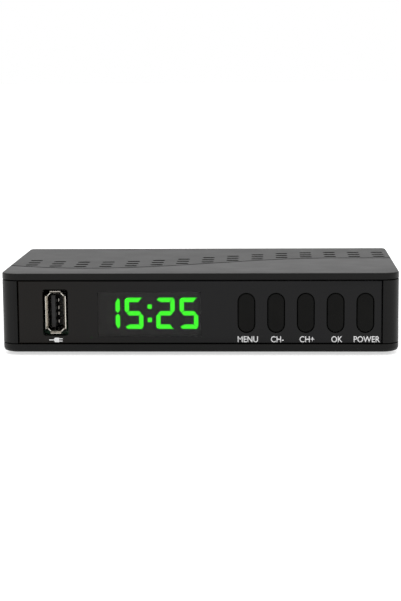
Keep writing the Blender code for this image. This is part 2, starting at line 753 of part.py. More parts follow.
def united(name, meshes):
    """Solids that meet each other, joined into one mesh."""
    base = bpy.data.objects.new(name, meshes[0])
    CUTTERS.objects.link(base)
    others = []
    for mesh in meshes[1:]:
        other = add_cutter(mesh.name, mesh)
        modifier = base.modifiers.new(mesh.name, "BOOLEAN")
        modifier.operation = "UNION"
        modifier.solver = "EXACT"
        modifier.object = other
        others.append(other)
    mesh = evaluated(name, base)
    for other in others:
        bpy.data.objects.remove(other)
    return mesh


def tray_bores(name):
    """Ways for the case screws, with seats for their heads, and the bores of the board screws."""
    shank = CASE_SCREW_RADIUS + GAP
    head = CASE_SCREW_HEAD_RADIUS + GAP
    seat = BASE + CASE_SCREW_HEAD + 2 * GAP
    bores = []
    for centre in column_places().values():
        across, back = centre
        profile = [(0, BASE + COLUMN_TOP + OVERRUN), (shank, BASE + COLUMN_TOP + OVERRUN), (shank, seat)]
        profile += [(head, seat), (head, BASE - OVERRUN), (0, BASE - OVERRUN)]
        bores.append(moved(turned("bore", profile, sides=16), (across, back, 0)))
    screw_low = FLOOR_TOP + GAP
    screw_top = FLOOR_TOP + BOARD_BOSS_HEIGHT + OVERRUN
    bore = BOARD_SCREW_RADIUS + GAP
    bores += [rod("bore", bore, centre, screw_low, screw_top) for centre in board_boss_places().values()]
    return together(name, bores)


def floor_vents(name):
    """Two sets of slots through the tray's floor."""
    slots = []
    middle = (FLOOR_VENTS - 1) / 2
    back = (FRONT + REAR) / 2
    for side in (-1, 1):
        for index in range(FLOOR_VENTS):
            across = side * HALF_WIDTH / 2 + (index - middle) * FLOOR_VENT_PITCH
            slots.append(stadium((across, back), FLOOR_VENT_WIDTH, FLOOR_VENT_LENGTH, 1))
    return prism(name, slots, BASE - OVERRUN, FLOOR_TOP + OVERRUN)


def foot_recesses(name):
    radius = FOOT_RADIUS + GAP
    recesses = [
        rod("recess", radius, centre, BASE - OVERRUN, BASE + FOOT_RECESS)
        for centre in foot_places().values()
    ]
    return together(name, recesses)


def make_feet():
    """Rubber discs set into recesses of the underside, with a rounded lower edge."""
    top = BASE + FOOT_RECESS - GAP
    profile = [(0, top), (FOOT_RADIUS, top), (FOOT_RADIUS, FOOT_EDGE)]
    profile += [(FOOT_RADIUS - FOOT_EDGE, 0), (0, 0)]
    for name, (across, back) in foot_places().items():
        add_part(f"foot_{name}", turned(f"foot_{name}", profile), "rubber", (across, back, 0))


def make_front_frame():
    body = prism("front_frame", [footprint()], PANEL_LOW, TONGUE_TOP)
    frame = add_part("front_frame", body, "case_plastic")
    side = HALF_WIDTH - WALL
    inner_radius = FRONT_CORNER_RADIUS - WALL
    inner = rounded(-side, FRAME_BACK, side, REAR + OVERRUN, inner_radius, LEAST_RADIUS, 5, 1)
    low, high = PANEL_LOW - OVERRUN, TONGUE_TOP + OVERRUN
    past = HALF_WIDTH + OVERRUN
    cut(frame, prism("frame_pocket", [inner], low, high))
    cut(frame, box("frame_end", (-past, FRONT + RETURN_DEPTH, low), (past, REAR + 2 * OVERRUN, high)))
    cut(frame, ledge("frame_ledge"))
    recess = LENS_HALF + GAP
    cut(frame, box("lens_recess", (-recess, FRONT - OVERRUN, low), (recess, FRAME_FRONT, high)))
    window = (DISPLAY_WIDTH + 2 * GAP, DISPLAY_HEIGHT + 2 * GAP)
    display = around((DISPLAY_CENTRE, DISPLAY_HEIGHT_OVER_BASE), *window)
    eye = circle((IR_CENTRE, DISPLAY_HEIGHT_OVER_BASE), IR_DOME_RADIUS + GAP, 16)
    openings = [*front_cutouts(), rectangle(*display), eye]
    cut(frame, prism("frame_openings", openings, FRAME_FRONT - GAP, FRAME_BACK + OVERRUN, "Y"))
    middle = (FRAME_FRONT + FRAME_BACK) / 2
    end = FRONT_BOARD_FACE - GAP
    bosses = [
        rod("boss", FRONT_BOSS_RADIUS, (across, up), middle, end, "Y", 16)
        for across, up in FRONT_BOSS_PLACES.values()
    ]
    join(frame, together("frame_bosses", bosses))
    bore = SMALL_SCREW_RADIUS + GAP
    bores = [
        rod("bore", bore, (across, up), FRAME_BACK + GAP, end + OVERRUN, "Y", 12)
        for across, up in FRONT_BOSS_PLACES.values()
    ]
    cut(frame, together("frame_boss_bores", bores))


def make_front_lens():
    outline = rectangle(-LENS_HALF, PANEL_LOW, LENS_HALF, BODY_TOP)
    body = prism("front_lens", [outline], FRONT, LENS_BACK, "Y")
    soften(body, LENS_CHAMFER, 1, lambda point: point.y < FRONT + GAP)
    lens = add_part("front_lens", body, "smoked_lens")
    cut(lens, prism("lens_cutouts", front_cutouts(), FRONT - OVERRUN, LENS_BACK + OVERRUN, "Y"))


def make_keys():
    """Each key hangs on an empty on the line that it slides along, with the plunger that it pushes."""
    width, height = KEY_HOLE_WIDTH - 2 * GAP, KEY_HOLE_HEIGHT - 2 * GAP
    grow = 2 * (GAP + KEY_FLANGE_MARGIN)
    for name, across in zip(KEY_NAMES, key_places()):
        slide = bpy.data.objects.new(f"{name}_slide", None)
        PARTS.objects.link(slide)
        slide.location = (across, FRONT, KEY_HEIGHT)
        root = FLANGE_FRONT + GAP - FRONT
        cap = prism(f"key_{name}", [stadium((0, 0), width, height)], -KEY_PROUD, root, "Y")
        soften(cap, KEY_EDGE, 1, lambda point: point.y < -KEY_PROUD + GAP / 2)
        key = add_part(f"key_{name}", cap, "key_plastic", parent=slide)
        flange = prism(
            f"{name}_flange",
            [stadium((0, 0), width + grow, height + grow)],
            FLANGE_FRONT - FRONT,
            FLANGE_BACK - FRONT,
            "Y",
        )
        stem = rod(f"{name}_stem", KEY_STEM_RADIUS, (0, 0), root, STEM_BACK - FRONT, "Y", 16)
        join(key, flange, stem)
        for helper in (modifier.object for modifier in key.modifiers):
            helper.parent = slide
        plunger = rod(f"plunger_{name}", PLUNGER_RADIUS, (0, 0), 0, PLUNGER_LENGTH, "Y", 20)
        add_part(f"plunger_{name}", plunger, "black_insulation", (0, PLUNGER_FRONT - FRONT, 0), slide)


def make_switches():
    """Square switch bodies with a bore that the plunger sinks into."""
    for name, across in zip(KEY_NAMES, key_places()):
        place = (across, SWITCH_FRONT, KEY_HEIGHT)
        half = SWITCH_SIDE / 2
        body = add_part(
            f"switch_{name}", box("switch", (-half, 0, -half), (half, SWITCH_DEPTH, half)), "steel", place
        )
        bore = rod(f"{name}_bore", PLUNGER_RADIUS + GAP, (0, 0), -OVERRUN, SWITCH_BORE_DEPTH, "Y")
        cut(body, bore)
        body.modifiers[0].object.location = place


def screw_profile(shank, head, tip, seat, head_height):
    """Half of a screw's outline from the top of its head down to its tip."""
    top = seat + head_height
    return [(0, top), (head, top), (head, seat), (shank, seat), (shank, tip), (0, tip)]


def make_front_board():
    left, right = FRONT_BOARD_LEFT, FRONT_BOARD_RIGHT
    outline = rectangle(left, FRONT_BOARD_LOW, right, FRONT_BOARD_HIGH)
    hole = SMALL_SCREW_RADIUS + GAP
    holes = [circle((across, up), hole, 12) for across, up in FRONT_BOSS_PLACES.values()]
    board = prism("front_board", [outline, *holes], FRONT_BOARD_FACE, FRONT_BOARD_BACK, "Y")
    add_part("front_board", board, "board_laminate")
    seat = FRONT_BOARD_BACK + GAP
    tip = FRAME_BACK + 2 * GAP
    for side, (across, up) in FRONT_BOSS_PLACES.items():
        name = f"front_board_screw_{side}"
        profile = screw_profile(SMALL_SCREW_RADIUS, SMALL_SCREW_HEAD_RADIUS, tip, seat, SMALL_SCREW_HEAD)
        add_part(name, turned(name, profile, "Y", 12), "steel", (across, 0, up))


def digit_centres():
    outer = DIGIT_FROM_COLON + DIGIT_PITCH
    return [DISPLAY_CENTRE + across for across in (-outer, -DIGIT_FROM_COLON, DIGIT_FROM_COLON, outer)]


def segment_outlines(across):
    """The seven segments of a digit about its middle, as outlines with pointed ends."""
    half_width = (DIGIT_WIDTH - SEGMENT_WIDTH) / 2
    half_height = (DIGIT_HEIGHT - SEGMENT_WIDTH) / 2
    half = SEGMENT_WIDTH / 2
    up = DISPLAY_HEIGHT_OVER_BASE
    flat_end, tall_end = half_width - SEGMENT_GAP, half_height / 2 - SEGMENT_GAP
    flat = [(-flat_end, 0), (half - flat_end, -half), (flat_end - half, -half)]
    flat += [(flat_end, 0), (flat_end - half, half), (half - flat_end, half)]
    tall = [(0, -tall_end), (half, half - tall_end), (half, tall_end - half)]
    tall += [(0, tall_end), (-half, tall_end - half), (-half, half - tall_end)]
    places = [(flat, 0, row * half_height) for row in (-1, 0, 1)]
    places += [(tall, side * half_width, row * half_height / 2) for side in (-1, 1) for row in (-1, 1)]
    return [[(across + right + x, up + above + z) for x, z in outline] for outline, right, above in places]


def make_display():
    """The display's block, with its segments and colon in relief on its face."""
    middle = (DISPLAY_CENTRE, DISPLAY_HEIGHT_OVER_BASE)
    left, low, right, high = around(middle, DISPLAY_WIDTH, DISPLAY_HEIGHT)
    body = box("display_body", (left, DISPLAY_FACE, low), (right, DISPLAY_BACK, high))
    display = add_part("display_body", body, "black_insulation")
    outlines = [outline for across in digit_centres() for outline in segment_outlines(across)]
    for side in (-1, 1):
        centre = (DISPLAY_CENTRE, DISPLAY_HEIGHT_OVER_BASE + side * COLON_SPREAD / 2)
        outlines.append(rectangle(*around(centre, COLON_SIDE, COLON_SIDE)))
    join(display, prism("display_segments", outlines, SEGMENT_FRONT, DISPLAY_FACE + GAP, "Y"))


def make_ir_receiver():
    """Remote control eye: a block with a dome that looks through its hole in the frame."""
    up = DISPLAY_HEIGHT_OVER_BASE
    left, low, right, high = around((IR_CENTRE, up), IR_WIDTH, IR_HEIGHT)
    back = FRONT_BOARD_FACE - GAP
    face = back - IR_DEPTH
    block = box("ir_receiver", (left, face, low), (right, back, high))
    eye = add_part("ir_receiver", block, "black_insulation")
    work = bmesh.new()
    bmesh.ops.create_uvsphere(work, u_segments=16, v_segments=10, radius=IR_DOME_RADIUS)
    bmesh.ops.translate(work, vec=(IR_CENTRE, face, up), verts=work.verts)
    dome = bpy.data.meshes.new("ir_dome")
    work.to_mesh(dome)
    work.free()
    join(eye, dome)


def sheet_tube(name, outline, front, back, thickness, lips=None):
    """A tube of bent sheet along Y. lips, a length and a flare, turn its sides out at the front."""
    work = bmesh.new()
    ring = [work.verts.new((across, front, up)) for across, up in outline]
    edges = [work.edges.new((ring[index - 1], ring[index])) for index in range(len(ring))]
    side = max(edge.calc_length() for edge in edges)
    straight = [edge for edge in edges if edge.calc_length() * 4 > side]
    walls = bmesh.ops.extrude_edge_only(work, edges=edges)["geom"]
    moved_points = [item for item in walls if isinstance(item, bmesh.types.BMVert)]
    bmesh.ops.translate(work, vec=(0, back - front, 0), verts=moved_points)
    if lips:
        length, flare = lips
        middle = sum((point.co for point in ring), Vector()) / len(ring)
        for edge in straight:
            start, end = (point.co for point in edge.verts)
            away = (start + end) / 2 - middle
            upright = abs(start.x - end.x) < GAP
            across = math.copysign(flare, away.x) if upright else 0
            up = 0 if upright else math.copysign(flare, away.z)
            lip = bmesh.ops.extrude_edge_only(work, edges=[edge])["geom"]
            ends = [item for item in lip if isinstance(item, bmesh.types.BMVert)]
            bmesh.ops.translate(work, vec=(across, -length, up), verts=ends)
    bmesh.ops.recalc_face_normals(work, faces=work.faces)
    mesh = bpy.data.meshes.new(name)
    work.to_mesh(mesh)
    work.free()
    tube = bpy.data.objects.new(name, mesh)
    PARTS.objects.link(tube)
    wall = tube.modifiers.new("sheet", "SOLIDIFY")
    wall.thickness = thickness
    wall.offset = -1
    wall.use_even_offset = True
    return evaluated(name, tube)


def octagon(centre, width, height, corner):
    """A rectangle with its corners cut off."""
    left, low, right, high = around(centre, width, height)
    return [
        (left + corner, low),
        (right - corner, low),
        (right, low + corner),
        (right, high - corner),
        (right - corner, high),
        (left + corner, high),
        (left, high - corner),
        (left, low + corner),
    ]


def make_usb():
    """Host socket: bent shell with flared lips, and a tongue on its back block with contact strips."""
    centre = (USB_CENTRE, USB_CENTRE_HEIGHT)
    outline = octagon(centre, USB_WIDTH, USB_HEIGHT, USB_CORNER)
    tube_front = USB_FRONT + USB_LIP_LENGTH
    back = USB_FRONT + USB_DEPTH
    shell = sheet_tube("usb_shell", outline, tube_front, back, USB_SHEET, (USB_LIP_LENGTH, USB_LIP_FLARE))
    add_part("usb_shell", shell, "nickel_plate")
    inner_left = USB_CENTRE - USB_WIDTH / 2 + USB_SHEET
    inner_right = USB_CENTRE + USB_WIDTH / 2 - USB_SHEET
    tongue_left = inner_left + USB_TONGUE_FROM_SIDE
    tongue_right = tongue_left + USB_TONGUE_THICKNESS
    tongue_front = tube_front + USB_TONGUE_SETBACK
    block_front = back - USB_BLOCK_DEPTH
    tall = USB_HEIGHT - 2 * (USB_SHEET + USB_TONGUE_ROOM)
    low, high = USB_CENTRE_HEIGHT - tall / 2, USB_CENTRE_HEIGHT + tall / 2
    block = box("usb_tongue", (inner_left + GAP, block_front, low), (inner_right - GAP, back, high))
    tongue = add_part("usb_tongue", block, "black_insulation")
    blade_low, blade_high = low + GAP, high - GAP
    blade_ends = (tongue_left, tongue_front, blade_low), (tongue_right, back - GAP, blade_high)
    join(tongue, box("usb_blade", *blade_ends))
    strips = []
    contact_right = tongue_right + USB_CONTACT_THICKNESS
    contact_back = block_front - GAP
    for share in USB_CONTACT_SHARES:
        up = USB_CENTRE_HEIGHT + share * tall - USB_CONTACT_WIDTH / 2
        start = (tongue_right - GAP, contact_back - USB_CONTACT_LENGTH, up)
        strips.append(box("strip", start, (contact_right, contact_back, up + USB_CONTACT_WIDTH)))
    join(tongue, together("usb_contacts", strips))


def make_main_board():
    """Board with a tab that reaches forward under the host socket."""
    side, front, rear = BOARD_HALF_WIDTH, FRONT + BOARD_FRONT, PANEL_IN - BOARD_FROM_PANEL
    tab_front, tab_end = FRONT + BOARD_TAB_FRONT, USB_CENTRE + USB_WIDTH / 2 + BOARD_TAB_REACH
    outline = [(-side, tab_front), (tab_end, tab_front), (tab_end, front)]
    outline += [(side, front), (side, rear), (-side, rear)]
    holes = [circle(centre, BOARD_SCREW_RADIUS + GAP, 12) for centre in board_boss_places().values()]
    board = prism("main_board", [outline, *holes], BOARD_LOW, BOARD_TOP)
    join(add_part("main_board", board, "board_laminate"), *soldered_parts())
    tip = FLOOR_TOP + 2 * GAP
    profile = screw_profile(BOARD_SCREW_RADIUS, BOARD_SCREW_HEAD_RADIUS, tip, SEAT, BOARD_SCREW_HEAD)
    for corner, centre in board_boss_places().items():
        screw = turned("screw", profile, sides=12)
        add_part(f"board_screw_{corner}", screw, "steel", (*centre, 0))


def make_case_screws():
    head_low = BASE + GAP
    head_top = head_low + CASE_SCREW_HEAD
    tip = BASE + POST_BORE_TOP - CASE_SCREW_ROOM
    profile = [(0, tip), (CASE_SCREW_RADIUS, tip), (CASE_SCREW_RADIUS, head_top)]
    profile += [(CASE_SCREW_HEAD_RADIUS, head_top), (CASE_SCREW_HEAD_RADIUS, head_low), (0, head_low)]
    for corner, centre in column_places().items():
        add_part(f"case_screw_{corner}", turned("screw", profile, sides=12), "steel", (*centre, 0))


def make_rear_panel():
    """Plate held between the tray's rear wall and its ribs, with a hole for each connector."""
    row = rear_row()
    side = HALF_WIDTH - WALL - GAP
    outline = rectangle(-side, FLOOR_TOP + GAP, side, TONGUE_TOP)
    holes = [
        circle((row["dc"], SEAT + DC_HEIGHT / 2), DC_COLLAR_RADIUS + GAP),
        circle((row["coax"], SEAT + COAX_HEIGHT / 2), COAX_BARREL_RADIUS + GAP),
    ]
    for name, width, height in (("scart", SCART_WIDTH, SCART_HEIGHT), ("hdmi", HDMI_WIDTH, HDMI_HEIGHT)):
        centre = (row[name], SEAT + height / 2)
        holes.append(rectangle(*around(centre, width + 2 * GAP, height + 2 * GAP)))
    holes += [circle(centre, AERIAL_RADIUS + GAP) for centre in aerial_centres()]
    panel = prism("rear_panel", [outline, *holes], PANEL_IN, PANEL_OUT, "Y")
    add_part("rear_panel", panel, "case_plastic")


def aerial_centres():
    """Loop socket at the left of the tuner, aerial socket at its right."""
    middle = rear_row()["tuner"]
    return [(middle + side * AERIAL_PITCH / 2, SEAT + TUNER_HEIGHT / 2) for side in (-1, 1)]


def make_dc_jack():
    across, up = rear_row()["dc"], SEAT + DC_HEIGHT / 2
    left, low, right, high = around((across, up), DC_WIDTH, DC_HEIGHT)
    block = box("dc_jack_body", (left, CONNECTOR_BACK - DC_DEPTH, low), (right, CONNECTOR_BACK, high))
    body = add_part("dc_jack_body", block, "black_insulation")
    join(body, rod("dc_collar", DC_COLLAR_RADIUS, (across, up), CONNECTOR_BACK - GAP, NOSE, "Y"))
    bore_front = NOSE - DC_BORE_DEPTH
    cut(body, rod("dc_bore", DC_BORE_RADIUS, (across, up), bore_front, NOSE + OVERRUN, "Y"))
    pin = rod("dc_jack_pin", DC_PIN_RADIUS, (across, up), bore_front + GAP, NOSE - GAP, "Y", 12)
    add_part("dc_jack_pin", pin, "nickel_plate")


def scart_places():
    """The middle of each contact slot: two rows."""
    middle = (SCART_COLUMNS - 1) / 2
    up = SEAT + SCART_HEIGHT / 2
    return [
        (rear_row()["scart"] + (index - middle) * SCART_COLUMN_PITCH, up + row * SCART_ROW_PITCH / 2)
        for row in (-1, 1)
        for index in range(SCART_COLUMNS)
    ]


def slanted(centre, width, height, slant):
    """The audio and video socket's shape: a rectangle with one upper corner cut at a slant."""
    left, low, right, high = around(centre, width, height)
    return [(left, low), (right, low), (right, high), (left + slant, high), (left, high - slant)]


def make_scart():
    """Audio and video socket: a slanted groove for the plug's shield and two rows of slots with blades."""
    centre = (rear_row()["scart"], SEAT + SCART_HEIGHT / 2)
    left, low, right, high = around(centre, SCART_WIDTH, SCART_HEIGHT)
    block = box("scart_housing", (left, NOSE - SCART_DEPTH, low), (right, NOSE, high))
    body = add_part("scart_housing", block, "black_insulation")
    outer = slanted(centre, SCART_GROOVE_WIDTH_WISE, SCART_GROOVE_HEIGHT_WISE, SCART_SLANT)
    inner = slanted(
        centre,
        SCART_GROOVE_WIDTH_WISE - 2 * SCART_GROOVE,
        SCART_GROOVE_HEIGHT_WISE - 2 * SCART_GROOVE,
        SCART_SLANT - SCART_GROOVE / 2,
    )
    cut(body, prism("scart_groove", [outer, inner], NOSE - SCART_GROOVE_DEPTH, NOSE + OVERRUN, "Y"))
    slots = [rectangle(*around(place, SCART_SLOT_WIDTH, SCART_SLOT_HEIGHT)) for place in scart_places()]
    blades = [rectangle(*around(place, *SCART_CONTACT_SIDES)) for place in scart_places()]
    blade_end = NOSE - SCART_CONTACT_SETBACK
    cut(body, prism("scart_slots", slots, blade_end, NOSE + OVERRUN, "Y"))
    cut(body, prism("scart_contacts", slots + blades, NOSE - SCART_SLOT_DEPTH, blade_end + GAP, "Y"))


def make_hdmi():
    """Digital picture socket: bent shell and a tongue on a back block."""
    across, up = rear_row()["hdmi"], SEAT + HDMI_HEIGHT / 2
    left, low, right, high = around((across, up), HDMI_WIDTH, HDMI_HEIGHT)
    corner = HDMI_CORNER
    outline = [(left + corner, low), (right - corner, low), (right, low + corner), (right, high)]
    outline += [(left, high), (left, low + corner)]
    front = NOSE - HDMI_DEPTH
    add_part("hdmi_shell", sheet_tube("hdmi_shell", outline, front, NOSE, HDMI_SHEET), "nickel_plate")
    sheet = HDMI_SHEET + GAP
    block = [(left + corner, low + sheet), (right - corner, low + sheet), (right - sheet, low + corner)]
    block += [(right - sheet, high - sheet), (left + sheet, high - sheet), (left + sheet, low + corner)]
    back = front + HDMI_BLOCK_DEPTH
    tongue = add_part("hdmi_tongue", prism("hdmi_tongue", [block], front, back, "Y"), "black_insulation")
    half, thick = HDMI_TONGUE_WIDTH / 2, HDMI_TONGUE_THICKNESS / 2
    reach = NOSE - HDMI_TONGUE_SETBACK
    blade_ends = (across - half, back - GAP, up - thick), (across + half, reach, up + thick)
    join(tongue, box("hdmi_blade", *blade_ends))


def ring_profile(outer, wall, low, high):
    return [(outer, high), (outer, low), (outer - wall, low), (outer - wall, high)]


def make_coax():
    """Coaxial audio socket: block with a stub, barrel over the stub, contact in its bore."""
    across, up = rear_row()["coax"], SEAT + COAX_HEIGHT / 2
    left, low, right, high = around((across, up), COAX_WIDTH, COAX_HEIGHT)
    block = box("coax_body", (left, CONNECTOR_BACK - COAX_DEPTH, low), (right, CONNECTOR_BACK, high))
    body = add_part("coax_body", block, "black_insulation")
    stub = COAX_BARREL_RADIUS - COAX_BARREL_WALL - GAP
    start = CONNECTOR_BACK + GAP
    end = start + COAX_BARREL_LENGTH
    join(body, rod("coax_stub", stub, (across, up), CONNECTOR_BACK - GAP, end - GAP, "Y"))
    bore = COAX_CONTACT_RADIUS + GAP
    cut(body, rod("coax_bore", bore, (across, up), CONNECTOR_BACK - OVERRUN, end + OVERRUN, "Y", 16))
    barrel = turned("coax_barrel", ring_profile(COAX_BARREL_RADIUS, COAX_BARREL_WALL, start, end), "Y", 22)
    add_part("coax_barrel", barrel, "nickel_plate", (across, 0, up))
    contact_start = CONNECTOR_BACK - OVERRUN + GAP
    profile = ring_profile(COAX_CONTACT_RADIUS, COAX_CONTACT_WALL, contact_start, end - 2 * GAP)
    add_part("coax_contact", turned("coax_contact", profile, "Y", 16), "nickel_plate", (across, 0, up))


def make_tuner():
    """Screened tuner with the loop socket and the aerial socket on its rear face."""
    middle = rear_row()["tuner"]
    left, right = middle - TUNER_WIDTH / 2, middle + TUNER_WIDTH / 2
    can_ends = (left, CONNECTOR_BACK - TUNER_DEPTH, SEAT), (right, CONNECTOR_BACK, SEAT + TUNER_HEIGHT)
    add_part("tuner_can", box("tuner_can", *can_ends), "tin_plate")
    start, end = CONNECTOR_BACK + GAP, REAR + REAR_REACH
    loop, aerial = aerial_centres()
    collar_low, collar_high = PANEL_OUT + GAP, PANEL_OUT + GAP + AERIAL_COLLAR_LENGTH
    inner = AERIAL_RADIUS - AERIAL_WALL
    barrel = [(AERIAL_RADIUS, end), (AERIAL_RADIUS, collar_high), (AERIAL_COLLAR_RADIUS, collar_high)]
    barrel += [(AERIAL_COLLAR_RADIUS, collar_low), (AERIAL_RADIUS, collar_low), (AERIAL_RADIUS, start)]
    barrel += [(inner, start), (inner, end)]
    insulator_end = start + AERIAL_INSULATOR_DEPTH
    sockets = (("aerial_out", loop, AERIAL_PIN_RADIUS), ("aerial_in", aerial, AERIAL_CONTACT_RADIUS))
    for name, (across, up), core in sockets:
        place = (across, 0, up)
        add_part(f"{name}_barrel", turned(f"{name}_barrel", barrel, "Y", 22), "nickel_plate", place)
        wide = inner - GAP
        disc = ring_profile(wide, wide - core - GAP, start, insulator_end)
        add_part(f"{name}_insulator", turned(f"{name}_insulator", disc, "Y"), "white_insulation", place)
    tip = end - AERIAL_CONTACT_SETBACK
    socket = ring_profile(AERIAL_CONTACT_RADIUS, AERIAL_CONTACT_WALL, start, tip)
    across, up = aerial
    contact = turned("aerial_in_contact", socket, "Y", 16)
    add_part("aerial_in_contact", contact, "nickel_plate", (across, 0, up))
    shoulder = tip - AERIAL_PIN_RADIUS
    pin = [(0, tip), (AERIAL_PIN_RADIUS / 2, tip), (AERIAL_PIN_RADIUS, shoulder)]
    pin += [(AERIAL_PIN_RADIUS, start), (0, start)]
    across, up = loop
    add_part("aerial_out_pin", turned("aerial_out_pin", pin, "Y", 16), "nickel_plate", (across, 0, up))


def standing(name, centre, sides, height, finish):
    """A block that stands on the board."""
    across, back = centre
    width, depth = sides
    block = box(name, (-width / 2, -depth / 2, 0), (width / 2, depth / 2, height))
    return add_part(name, block, finish, (across, FRONT + back, SEAT))


def soldered_parts():
    """Crystal, inductor and capacitors, each rooted in the board that carries it."""
    root = BOARD_TOP - GAP
    across, back = CRYSTAL_CENTRE
    width, depth = CRYSTAL_SIDES
    outline = rounded(*around((across, FRONT + back), width, depth), depth / 2 - LEAST_RADIUS)
    parts = [prism("crystal", [outline], root, BOARD_TOP + CRYSTAL_HEIGHT)]
    across, back = INDUCTOR_CENTRE
    outline = rounded(*around((across, FRONT + back), INDUCTOR_SIDE, INDUCTOR_SIDE), INDUCTOR_CORNER)
    parts.append(prism("inductor", [outline], root, BOARD_TOP + INDUCTOR_HEIGHT))
    high = BOARD_TOP + CAPACITOR_HEIGHT
    edge = CAPACITOR_RADIUS - CAPACITOR_EDGE
    profile = [(0, high), (edge, high), (CAPACITOR_RADIUS, high - CAPACITOR_EDGE)]
    profile += [(CAPACITOR_RADIUS, root), (0, root)]
    for across, back in CAPACITOR_PLACES:
        parts.append(moved(turned("capacitor", profile, sides=14), (across, FRONT + back, 0)))
    return parts


def make_components():
    """Main chip with its heat sink, memory chip and the header that joins the boards."""
    standing("main_chip", CHIP_CENTRE, (CHIP_SIDE, CHIP_SIDE), CHIP_HEIGHT, "chip_resin")
    standing("memory_chip", MEMORY_CENTRE, MEMORY_SIDES, MEMORY_HEIGHT, "chip_resin")
    across, back = CHIP_CENTRE
    half = HEAT_SINK_SIDE / 2
    sink = prism("heat_sink", [fin_comb()], -half, half, "Y")
    add_part("heat_sink", sink, "anodised", (across, FRONT + back, SEAT + CHIP_HEIGHT + GAP))
    header_front = FRONT_BOARD_BACK + GAP
    left = HALF_WIDTH - HEADER_FROM_SIDE - HEADER_WIDTH / 2
    right = left + HEADER_WIDTH
    header_back = header_front + HEADER_DEPTH
    header = box("board_header", (left, header_front, SEAT), (right, header_back, SEAT + HEADER_HEIGHT))
    add_part("board_header", header, "black_insulation")


def fin_comb():
    """The heat sink's section: a base with a row of fins, anticlockwise."""
    half = HEAT_SINK_SIDE / 2
    pitch = (HEAT_SINK_SIDE - HEAT_SINK_FIN) / (HEAT_SINK_FINS - 1)
    high = HEAT_SINK_BASE + HEAT_SINK_FIN_HEIGHT
    comb = []
    for index in reversed(range(HEAT_SINK_FINS)):
        left = -half + index * pitch
        right = left + HEAT_SINK_FIN
        comb += [(right, HEAT_SINK_BASE), (right, high), (left, high), (left, HEAT_SINK_BASE)]
    return [(-half, 0), (half, 0), *comb[1:-1]]


clear_scene()
PARTS = new_collection("tv_receiver")
CUTTERS = new_collection("cutters")
make_top_cover()
make_bottom_tray()
make_feet()
make_front_frame()
make_front_lens()
make_keys()
make_switches()
make_front_board()
make_display()
make_ir_receiver()
make_usb()
make_main_board()
make_case_screws()
make_rear_panel()
make_dc_jack()
make_scart()
make_hdmi()
make_coax()
make_tuner()
make_components()
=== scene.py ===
"""Television receiver: the look of every piece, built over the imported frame, and the studio round it."""

import json
import math

import bmesh
import bpy
from bpy.props import FloatProperty, FloatVectorProperty, PointerProperty
from bpy.types import Operator, Panel, PropertyGroup
from mathutils import Matrix, Vector

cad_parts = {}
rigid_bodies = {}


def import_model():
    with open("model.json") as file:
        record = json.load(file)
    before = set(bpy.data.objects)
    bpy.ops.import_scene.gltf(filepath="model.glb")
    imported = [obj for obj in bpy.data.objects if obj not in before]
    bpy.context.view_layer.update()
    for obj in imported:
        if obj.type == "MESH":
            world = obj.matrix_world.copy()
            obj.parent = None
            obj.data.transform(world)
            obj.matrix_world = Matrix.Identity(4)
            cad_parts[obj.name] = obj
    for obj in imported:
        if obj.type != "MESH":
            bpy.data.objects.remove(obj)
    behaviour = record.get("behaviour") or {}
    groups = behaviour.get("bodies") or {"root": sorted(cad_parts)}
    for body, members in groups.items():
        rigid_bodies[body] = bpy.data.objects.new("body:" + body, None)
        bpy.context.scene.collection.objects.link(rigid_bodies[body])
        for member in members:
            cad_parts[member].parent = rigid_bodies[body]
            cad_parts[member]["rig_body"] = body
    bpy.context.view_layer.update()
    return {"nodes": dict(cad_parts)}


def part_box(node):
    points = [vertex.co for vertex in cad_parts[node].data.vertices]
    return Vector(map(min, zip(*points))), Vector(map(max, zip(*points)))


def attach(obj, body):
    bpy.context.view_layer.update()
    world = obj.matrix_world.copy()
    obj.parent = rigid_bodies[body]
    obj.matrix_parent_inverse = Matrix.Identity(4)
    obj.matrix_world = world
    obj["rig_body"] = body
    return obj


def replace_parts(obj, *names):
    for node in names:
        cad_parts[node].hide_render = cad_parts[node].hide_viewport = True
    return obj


bl_info = {
    "name": "Television receiver look",
    "version": (1, 0, 0),
    "blender": (4, 5, 0),
    "location": "View3D > Sidebar > Receiver",
    "description": "Dresses a small television receiver and sets up its studio",
    "category": "Object",
}

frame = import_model()
LENS_LOW, LENS_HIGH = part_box("front_lens")
LENS_FRONT = LENS_LOW.y
CASE_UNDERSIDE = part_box("bottom_tray")[0].z
KEY_NAMES = ("menu", "channel_down", "channel_up", "ok", "power")
LEGENDS = ("MENU", "CH-", "CH+", "OK", "POWER")
CLOCK_DIGITS = (1, 5, 2, 5)

# Which of a digit's bars are lit: top, upper left, upper right, middle, lower left, lower right, bottom
LIT_BARS = {1: "0010010", 2: "1011101", 5: "1101011"}

MERGE_DISTANCE = 0.000002
FLAT_ANGLE = math.radians(1)
SHARP_ANGLE = math.radians(32)
ROUND_STEPS = 48

# The number of an axis: Y runs to the back and Z runs up
DEEP, UP = 1, 2

# Keys and switches
KEY_CAP_WIDTH = 0.0052
KEY_CAP_HEIGHT = 0.0126
KEY_STEM_RADIUS = 0.0012
KEY_STEM_LENGTH = 0.0010
KEY_FLANGE_THICKNESS = 0.0010
RIVET_SHARE = 1 / 15
RIVET_STEPS = 16

# Print
LEGEND_NARROWING = 0.88
LEGEND_BOLDNESS = 0.012
PLUG_WIDTH = 0.0044
PLUG_HEIGHT = 0.0015
PLUG_LEAD_SHARE = 0.36
PLUG_PIN_SHARE = 0.26

